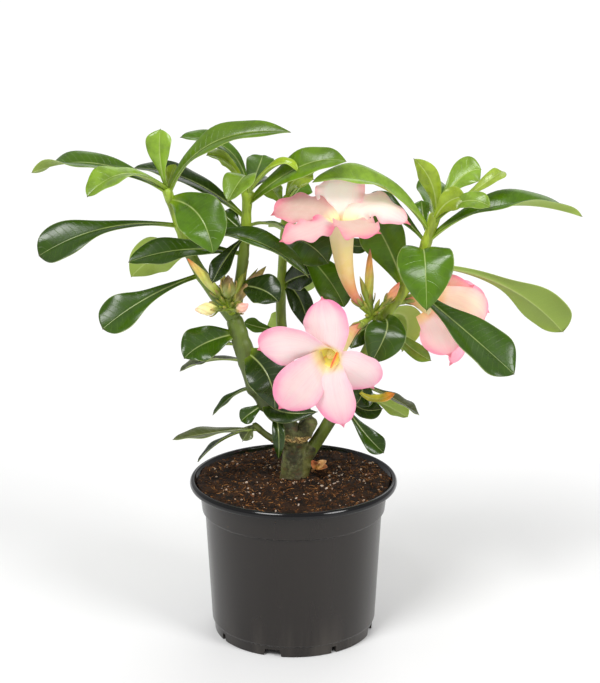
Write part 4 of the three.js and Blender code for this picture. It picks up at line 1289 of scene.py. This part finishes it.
def gradient(stops, ways):
    """Colours along a line, from stops of (way, colour)."""
    return read_off(ways, *zip(*stops))


def funnel(skin, line, mouth, outside, inside):
    """The tube, up to just under the petals and down again inside to the throat's floor."""
    levels = [(0, 2.1), (0.15, 2.8), (0.4, 4.9), (0.64, 6.3), (0.85, mouth - 1), (1, mouth)]
    length = steps_of(line).sum()
    rim, floor = 1 - LIP_UNDER / length, 1 - THROAT_DEPTH / length
    ways = np.linspace(0, rim, 34)
    radii = np.interp(ways, *zip(*levels))
    radii[1:-1] = (radii[:-2] + radii[1:-1] + radii[2:]) / 3
    back = np.linspace(rim, floor, 22)
    inner = np.interp(back, [floor, 0.45 * floor + 0.55, 1], [2.4, mouth - 2.2, mouth - 1.1])
    all_ways, all_radii = np.concatenate([ways, back]), np.concatenate([radii, inner])
    turns = round_turns(FUNNEL_SIDES)
    lobes = 1 + 0.028 * np.cos(5 * turns) * np.clip(all_ways * 2 - 0.3, 0, 1)[:, None]
    ribbed = 0.22 * (0.5 + 0.5 * np.cos(5 * turns)) * (1 - ways[:, None])
    out = blend_colours(ringed(gradient(outside, ways), FUNNEL_SIDES), outside[1][1], ribbed)
    stripes = np.clip(np.cos(5 * turns + 0.6) * 6 - 4.6, 0, 1)
    stripes = 0.6 * stripes * np.clip((0.99 - back) * 12, 0, 1)[:, None]
    throat = ringed(gradient(inside, back), FUNNEL_SIDES)
    tones = np.concatenate([out, blend_colours(throat, THROAT_STRIPE, stripes)])
    limb(skin, line, all_ways, all_radii[:, None] * lobes, FUNNEL_SIDES, tone=tones)


def petal_outline(way):
    arch = np.sin(np.pi * np.minimum(way, 0.999) ** 1.65) ** 0.5
    return 0.4 * (1 - way) ** 2 + 0.12 + 0.86 * arch


def petal(skin, throat, axis, mouth, shape, blush, middle, rose, foot_colour, ruffles, flush, seed):
    """One petal, wrapped round the mouth at its foot: shape is via, tip, width and look, and
    its middle colour turns to rose at the margins, the more the higher the blush."""
    throat, via, tip = (np.array(p, float) for p in (throat, *shape[:2]))
    width, look = shape[2:]
    out = via - throat
    out = unit(out - axis * out.dot(axis))
    base = throat + out * (mouth - 0.9) - axis
    reach = np.linalg.norm(tip - base) * 1.05
    plain = 1 - (1 - np.linspace(0, 1, PETAL_ROWS)) ** 1.35
    ways, halves = pointed(plain, width / 2 * petal_outline(plain), PETAL_POINT, reach)
    inner = np.minimum(ways, 1)[:, None]
    foot_share = np.clip(1 - inner / 0.17, 0, 1)
    sink = -(axis * CLAW + out * 1.7) * foot_share**2
    wrapped = foot_share**1.5

    def lift(u, way):
        sides = np.where(u < 0, -0.16, 0.08) * np.abs(u) ** 1.7
        waves = 1.5 * ruffles * u**2 * np.sin(inner * 6.5 + seed * 1.3) * inner
        ruffle = ruffles * np.abs(u) ** 5 * np.sin(inner * 19 + seed * 2.3)
        dish = -0.05 * (1 - u**2) * np.sin(np.pi * inner)
        half = halves[:, None]
        wrap = (half * u) ** 2 / (2 * mouth) * 1.1 * wrapped
        return half * (sides + waves + ruffle + dish) * (1 - wrapped) + wrap

    def paint(u, way, core, under):
        share = np.clip(way, 0, 1)
        margin = np.clip((np.abs(u + 0.08) - 0.48) / 0.55, 0, 1) ** 1.2 * (0.35 + 0.65 * share)
        end = np.clip((share - 0.66) / 0.34, 0, 1) ** 1.6
        streak = 0.06 * np.sin(u * 21 + seed) * share
        pink = np.clip(0.95 * margin + 0.62 * end + streak + 0.03, 0, 1) * blush
        colour = blend_colours(middle, rose, pink)
        foot = np.clip(1.25 - share / 0.1, 0, 1) ** 0.8
        colour = blend_colours(colour, foot_colour, foot * (0.35 if under else 0.95))
        guide = np.exp(-(((u - 0.1) / 0.2) ** 2)) * np.clip((0.13 - share) / 0.04, 0, 1)
        colour = blend_colours(colour, GUIDE_RED, guide * (0 if under else 0.2))
        low = np.exp(-(((share - 0.24) / 0.14) ** 2)) * np.clip(np.abs(u) * 1.6 - 0.3, 0, 1)
        colour = blend_colours(colour, FLUSH_PINK, low * flush)
        point = np.clip((way - 0.99) / 0.02, 0, 1)
        return blend_colours(colour, np.array(rose) * POINT_SHADE, point * 0.8)

    inner_ways = inner[:, 0]
    rib = 0.9 * (1 - inner_ways) + 0.35
    thickness = PETAL_THICKNESS - 0.12 * inner_ways
    relief = (0.08, 0.22 * (1 - inner_ways) + 0.03)
    arc = (base, via, tip)
    blade(skin, arc, look, ways, halves, lift, thickness, rib, relief, paint, sink=sink)


def anthers(skin, line):
    """The cone of five pale anthers that stands on the throat's floor."""
    depth = THROAT_DEPTH / steps_of(line).sum()
    reach = np.array([1 - depth, 1 - 0.55 * depth, 1 - 0.3 * depth])
    across, over = square_frames(line, reach)
    ways = np.linspace(0, 1, 14)
    tones = ringed(gradient(ANTHERS, ways), ANTHER_SIDES)
    for number in range(PETALS_PER_BLOOM):
        turn = 2 * math.pi * number / PETALS_PER_BLOOM + 0.4
        spokes = across * math.cos(turn) + over * math.sin(turn)
        offs = zip(reach, spokes, (1.6, 1.9, 0.5))
        thread = bezier(*(on_line(line, way) + spoke * off for way, spoke, off in offs))
        limb(skin, even(thread), ways, 1.5 - 1.0 * ways, ANTHER_SIDES, tone=tones)


def small_outline(ways, start, power):
    """The half width along a small blade that is pointed at both ends."""
    return np.sin(np.pi * (start + 0.86 * ways)) ** power


def throat_fold(skin, look):
    """The narrow orange-red fold that runs down the right wall of the front bloom's throat."""
    ways = np.linspace(0, 1, 18)
    halves = 1.15 * small_outline(ways, 0.1, 0.7) + 0.1

    def lift(u, way):
        return -0.4 * halves[:, None] * u**2

    def paint(u, way, core, under):
        return blend_colours(FOLD_YELLOW, FOLD_RED, np.exp(-(((u - 0.25) / 0.5) ** 2)))

    blade(skin, FOLD_LINE, look, ways, halves, lift, 0.4, 0.3, (0, 0.05), paint)


def sepals(skin, name, line, radius, length):
    """Small pointed sepals round the seat of a bloom or a bud."""
    share = min(length / steps_of(line).sum(), 0.9)
    across, over = square_frames(line, np.array([0, share / 2, share]))
    along = unit(line[1] - line[0])
    ways = np.linspace(0, 1, 14)
    halves = 1.5 * small_outline(ways, 0.12, 0.8) * (1 - 0.5 * ways) + 0.08

    def lift(u, way):
        return -0.35 * halves[:, None] * u**2

    def paint(u, way, core, under):
        return blend_colours(SEPAL_GREEN, SEPAL_TIP, way**2 + 0 * u)

    for number in range(PETALS_PER_BLOOM):
        turn = 2 * math.pi * number / PETALS_PER_BLOOM + 0.5
        spokes = across * math.cos(turn) + over * math.sin(turn)
        base = line[0] - along * 1.2 + spokes[0] * STALKS[name][3] * 0.75
        via = on_line(line, share / 2) + spokes[1] * (radius + 0.9)
        tip = on_line(line, share) + spokes[2] * (radius + 1.1)
        blade(skin, (base, via, tip), spokes[1], ways, halves, lift, 0.5, 0.4, (0, 0.1), paint)


def petal_skin():
    """Satin petal: each point's colour, with faint lengthwise veins, a soft sheen and a faint glow
    in the same colour, which is painted light for the light through the petals.
    """
    material, nodes, shader = new_material(
        "adenium petal", Roughness=0.5, Specular_IOR_Level=0.3, Sheen_Weight=0.15,
        Subsurface_Weight=0.3, Subsurface_Radius=(0.004, 0.0025, 0.002), Emission_Strength=0.22,
    )
    tone = nodes.attribute("tone")
    x, y, _ = nodes.split(nodes.attribute("blade", "Vector"))
    threads = nodes.noise(nodes.join(x, nodes.times(y, 0.12)), 13.0, 3.0, 0.6)
    fine = mottle(nodes, 160.0, 1.0, 1400.0)
    deeper = nodes.mix(1.0, tone, VEIN_SHADE, "MULTIPLY")
    colour = nodes.mix(nodes.ramp(threads, 0.5, 0.68, 0.0, 0.17), tone, deeper)
    colour = nodes.mix(nodes.ramp(fine["Clouds"], 0.4, 0.65, 0.0, 0.12), colour, CREAM)
    height = nodes.plus(nodes.times(threads, 0.7), nodes.times(fine["Grain"], 0.3))
    normal = bump(nodes, height, 0.0003, 0.5)
    # The emission takes the petal's own colour: the glow is painted light.
    drive(nodes, shader, Base_Color=colour, Emission_Color=colour, Normal=normal)
    return material


PETAL_SKIN = petal_skin()

# For each bloom: its throat, how far its funnel starts out straight, the radius of its mouth, the
# colours of its petals' middles, margins and feet, how ruffled they are, and its petals. For each
# petal: a point half way along it, its tip, its width, the way that it looks, its blush, and for
# some a middle colour of its own: a real pink or peach on some, and on others a darker or paler
# cream, which is painted shade or painted light on that petal.
BLOOMS = {
    "bloom_front": ((20, -56, 193), 16, 8, FRONT_COLOURS, 0.03, [
        ((19, -60, 213), (17, -56, 229), 30, None, 0.95),
        ((-1, -60, 202), (-19, -54, 199), 28, None, 0.85),
        # The darker middles of the two lower petals are painted shade.
        ((6, -62, 181), (-7, -58, 165), 28, None, 0.95, rgb(212, 186, 184)),
        ((23, -62, 175), (29, -60, 155), 25, None, 0.9, rgb(222, 196, 196)),
        ((35, -60, 186), (46, -54, 176), 31, None, 0.85),
    ]),
    "bloom_upright": ((29, -15, 270), 20, 8.8, UPRIGHT_COLOURS, 0.15, [
        # The darker middles of the left, lower and front petals are painted shade; the back petal's
        # near-white is its own white with painted light.
        ((8, -12, 275), (-11, -9, 270), 22, (0, -0.6, 1), 1, rgb(200, 168, 156)),
        ((11, -30, 266), (-6, -36, 260), 22, (0, -0.2, 1), 1, rgb(214, 182, 180)),
        ((28, -7, 281), (27, 0, 292), 29, (0, -1, 0.4), 0.9, rgb(255, 246, 242)),
        ((48, -12, 276), (67, -16, 267), 23, (0.2, -0.7, 1), 0.7),
        ((37, -33, 269), (49, -41, 266), 27, (0.1, -0.45, 1), 1, rgb(210, 176, 162)),
    ]),
    "bloom_right": ((88, 2, 208), 9, 7.6, RIGHT_COLOURS, 0.08, [
        # The top petal's darker salmon middle is painted shade; the peach and pinks of the others
        # are their own.
        ((97, 6, 215), (108, 5, 221), 25, (0.3, -1, 0.4), 1, rgb(228, 168, 152)),
        ((103, -3, 210), (115, -7, 203), 28, (0.3, -1, 0.2), 0.95, rgb(255, 216, 194)),
        ((89, -6, 197), (95, -9, 183), 26, (0.1, -1, 0), 0.9, rgb(248, 212, 212)),
        ((101, 6, 190), (98, 8, 172), 14, (0.4, -1, 0), 1, rgb(248, 182, 200)),
        ((106, 14, 212), (120, 17, 203), 22, (0.9, -0.6, 0.1), 1, rgb(250, 180, 204)),
    ]),
}
FLUSHED = ("bloom_upright", 2)  # the petal that is deep pink near its foot
FOLDED = "bloom_front"  # the bloom whose throat shows a fold

for name, (throat, lead, mouth, (middle, rose, foot_colour), ruffles, petals) in BLOOMS.items():
    line = growth(name, throat, lead)
    axis = unit(line[-1] - line[-2])
    flower = Skin()
    funnel(flower, line, mouth, TUBE_OUTSIDE, THROAT)
    anthers(flower, line)
    for seed, (via, tip, width, look, blush, *own) in enumerate(petals, 1):
        shape = (via, tip, width, axis if look is None else look)
        flush = 0.8 if (name, seed) == FLUSHED else 0
        petal(flower, throat, axis, mouth, shape, blush, *own or [middle], rose, foot_colour,
              ruffles, flush, seed)
    if name == FOLDED:
        throat_fold(flower, axis)
    flower.piece(f"{name}_petals", PETAL_SKIN, "petals", name)
    calyx = Skin()
    sepals(calyx, name, line, 2.4, 6.5)
    calyx.piece(f"{name}_calyx", STEM_SKIN, "buds")

# ---------------------------------------------------------------- buds
# Spindles of rolled petals on five small sepals, which twist as they grow: green at the seat,
# then yellow, orange or pink. The dried one kept only its brown-hearted green hood.

BUDS = {  # tip, radius, colours along it, and how long its sepals are
    "bud_right_long": ((46, -12, 249), 2.8, [(0, rgb(150, 172, 62)), (0.45, rgb(190, 186, 78)),
                       (0.75, rgb(206, 146, 72)), (1, rgb(120, 62, 40))], 7),
    "bud_right_peach": ((64, -10, 228), 2.6, [(0, rgb(168, 178, 84)), (0.4, rgb(232, 160, 106)),
                        (0.8, rgb(238, 150, 122)), (1, rgb(214, 110, 96))], 4.5),
    "bud_left_long": ((-63, -16, 244), 3, [(0, rgb(150, 168, 60)), (0.5, rgb(186, 190, 84)),
                      (0.8, rgb(204, 176, 84)), (1, rgb(206, 104, 60))], 6),
    "bud_left_fat": ((-59, -18, 213), 4, [(0, rgb(178, 186, 92)), (0.3, rgb(226, 218, 138)),
                     (0.75, rgb(244, 226, 168)), (1, rgb(240, 196, 158))], 5),
    "bud_left_pink": ((-27, -19, 217), 3, [(0, rgb(170, 176, 96)), (0.4, rgb(230, 190, 160)),
                      (1, rgb(238, 164, 160))], 4),
    "bud_left_dried": ((-39, -17, 234), 4.4, [(0, rgb(120, 140, 52)), (0.5, rgb(124, 134, 60)),
                       (0.78, rgb(112, 92, 36)), (1, rgb(84, 66, 34))], 11),
}
BUD_SIDES = 30
# The furrows between a bud's rolled petals are painted darker: painted shade in the grooves.
BUD_FURROW_PAINTED_SHADE = (0.72, 0.6, 0.6, 1)  # how much darker the furrows are

for name, (tip, radius, colours, sepal_length) in BUDS.items():
    line = growth(name, tip, 5)
    seat = STALKS[name][3]
    ways = np.linspace(0, 1, 44)
    swells = [seat, radius * 0.95, radius, radius * 0.6, radius * 0.12]
    radii = np.interp(ways, [0, 0.25, 0.5, 0.8, 1], swells)
    radii[1:-1] = (radii[:-2] + 2 * radii[1:-1] + radii[2:]) / 4
    furrow = np.abs(np.sin(2.5 * (round_turns(BUD_SIDES) - 2.6 * ways[:, None]))) ** 0.6
    rings = radii[:, None] * (0.9 + 0.12 * furrow * np.clip(ways * 4, 0, 1)[:, None])
    tones = ringed(gradient(colours, ways), BUD_SIDES)
    # Painted shade: each point's colour is darkened the deeper it lies in a furrow.
    tones = blend_colours(tones, tones * BUD_FURROW_PAINTED_SHADE, 0.8 * (1 - furrow))
    bud = Skin()
    limb(bud, line, ways, rings, BUD_SIDES, tone=tones)
    # The spindle takes the petal skin, so it glows faintly too: painted light.
    bud.piece(f"{name}_spindle", PETAL_SKIN, "buds", name)
    calyx = Skin()
    sepals(calyx, name, line, radius * 0.85, sepal_length)
    calyx.piece(f"{name}_calyx", STEM_SKIN, "buds")

# ---------------------------------------------------------------- bracts
# Small pointed green bracts, unopened buds and a faded flower, soft and fleshy, which crowd
# round the fork of each flower stalk and grow straight from it.

BRACT_GREEN = rgb(146, 166, 56)
BRACT_END = rgb(190, 176, 84)
BRACT_SIDES = 12
BRACTS = {  # the stalk's end that they sit round, then each tip, its radius and perhaps its tone
    "right_bracts": ("right", [
        ((39, -14, 221), 1.5), ((42.5, -16, 217.5), 1.3), ((52, -15, 219), 1.4),
        ((55.5, -15, 214.5), 1.2), ((51, -19, 212), 1.3), ((43, -20, 210), 1.2),
        ((40, -11, 232), 2.1), ((58, -15, 219), 1),
    ]),
    "left_bracts": ("left", [
        ((-34.5, -15, 222), 1.3), ((-43.5, -16, 221), 1.3), ((-36, -19, 218), 1.5),
        ((-47, -13, 218), 1.1), ((-31.5, -14, 217.5), 1.2), ((-42, -19, 215), 1.3),
        ((-44, 2, 236), 2.1, rgb(176, 166, 70)), ((-27, 4, 238), 2, rgb(180, 190, 74)),
        ((-21.5, 5, 233), 1.5), ((-16.5, 6, 234), 3.4, rgb(222, 166, 134)),
    ]),
}

for name, (stalk_name, tips) in BRACTS.items():
    fork = np.array(STALKS[stalk_name][1], float)
    cluster = Skin()
    for number, (tip, radius, *own) in enumerate(tips):
        tone = own[0] if own else BRACT_GREEN
        way_out = unit(np.array(tip, float) - fork)
        bow = (fork + tip) / 2 + np.cross(way_out, (0, 0, 1)) * (0.9 if number % 2 else -0.9)
        line = even(bezier(fork + way_out * 0.4, bow, tip))
        ways = np.linspace(0, 1, 18)
        swells = [0.9 * radius, 0.8 * radius, radius, 0.55 * radius, 0.12]
        radii = np.interp(ways, [0, 0.35, 0.6, 0.85, 1], swells)
        tones = ringed(gradient([(0, STALK_GREEN), (0.6, tone), (1, BRACT_END)], ways), BRACT_SIDES)
        limb(cluster, line, ways, radii, BRACT_SIDES, tone=tones)
    cluster.piece(name, STEM_SKIN, "buds")

# ---------------------------------------------------------------- withered shoot
# A dry twig that leans against the stub at the trunk's foot, with four shrivelled leaves,
# papery, yellow and orange, and curled up at their edges.

TWIG = ((11.5, -1.5, 104), (14.5, -4, 107.4))
TWIG_TONES = [(0, rgb(120, 96, 60)), (1, rgb(200, 150, 84))]
TWIG_SIDES = 12
TWIG_FORK = (14.2, -4, 107)
DRY_BROWN = rgb(110, 58, 34)
SHRIVELLED = [  # via, tip, width, the way it looks, and its colours
    ((17, -6.5, 110.6), (20.4, -8, 113), 4.4, (0, -1, 0.6), rgb(214, 160, 70), rgb(226, 176, 120)),
    ((17.4, -5.5, 108.6), (21, -6, 108.4), 4.4, (0, -1, 0.8), rgb(196, 140, 40), rgb(204, 130, 80)),
    ((12.8, -6, 110.4), (11.4, -7, 113), 4, (0, -1, 0.4), rgb(200, 136, 70), rgb(176, 90, 50)),
    ((15.6, -6, 109.8), (16, -8, 112), 2.8, (0.2, -1, 0.6), rgb(222, 180, 90), rgb(222, 170, 120)),
]


def dry_leaf():
    """Dull, creased and browned in patches."""
    material, nodes, shader = new_material("dry leaf", Roughness=0.75)
    tone = nodes.attribute("tone")
    creases = mottle(nodes, 320.0, 2.0, 1800.0)
    colour = nodes.mix(nodes.ramp(creases["Clouds"], 0.4, 0.65, 0.0, 0.7), tone, DRY_BROWN)
    drive(nodes, shader, Base_Color=colour, Normal=bump(nodes, creases["Height"], 0.0005, 0.8))
    return material


withered = Skin()
twig_line = bezier(TWIG[0], np.mean(TWIG, axis=0) + [0, 0, 0.6], TWIG[1])
twig_ways = np.linspace(0, 1, 14)
twig_tones = ringed(gradient(TWIG_TONES, twig_ways), TWIG_SIDES)
limb(withered, twig_line, twig_ways, 1 - 0.25 * twig_ways, TWIG_SIDES, tone=twig_tones)
for number, (via, tip, width, look, pale, dark) in enumerate(SHRIVELLED):
    ways = np.linspace(0, 1, 16)
    halves = width / 2 * small_outline(ways, 0.1, 0.8) + 0.1

    def lift(u, way):
        return halves[:, None] * (0.45 * np.abs(u) ** 1.5 + 0.16 * u * np.sin(way * 9 + number))

    def paint(u, way, core, under):
        return blend_colours(pale, dark, np.clip(way + 0.25 * np.abs(u) - 0.1, 0, 1))

    arc = (TWIG_FORK, via, tip)
    blade(withered, arc, look, ways, halves, lift, 0.5, 0.3, (0.1, 0.15), paint)
withered.piece("withered_shoot", dry_leaf(), "withered", "shoot_withered")

# ---------------------------------------------------------------- floor and light
# A plain pale floor in a white room, a broad soft light high on the left, a weaker one on the
# right, and one behind that lifts the edges of the leaves.

FLOOR_HALF = 20.0
FLOOR_DROP = 0.0002  # just under the pot's foot, so that the two faces do not fight
FLOOR_CORNERS = ((-1, -1), (1, -1), (1, 1), (-1, 1))
PALE = (0.88, 0.88, 0.88, 1)
floor_mesh = bpy.data.meshes.new("floor")
floor_points = [(x * FLOOR_HALF, y * FLOOR_HALF, -FLOOR_DROP) for x, y in FLOOR_CORNERS]
floor_mesh.from_pydata(floor_points, [], [(0, 1, 2, 3)])
floor = placed("floor", floor_mesh)
floor.data.materials.append(new_material("pale floor", Roughness=0.7, Base_Color=PALE)[0])

world = bpy.data.worlds.new("white room")
bpy.context.scene.world = world
world.use_nodes = True
background = world.node_tree.nodes["Background"].inputs
background["Color"].default_value = (1, 1, 1, 1)
background["Strength"].default_value = 0.5
for name, towards, spread, power in (  # the way to each light, its width in degrees, its power
    ("key light", (-0.5, -0.75, 1), 24, 1.75),
    ("fill light", (0.9, -0.75, 0.75), 22, 1.25),
    ("back light", (0.3, 1, 0.9), 40, 0.5),
):
    lamp_data = bpy.data.lights.new(name, "SUN")
    lamp_data.angle = math.radians(spread)
    lamp_data.energy = power
    lamp = placed(name, lamp_data)
    lamp.rotation_euler = Vector(towards).to_track_quat("Z", "Y").to_euler()
bpy.context.scene.view_settings.view_transform = "Standard"
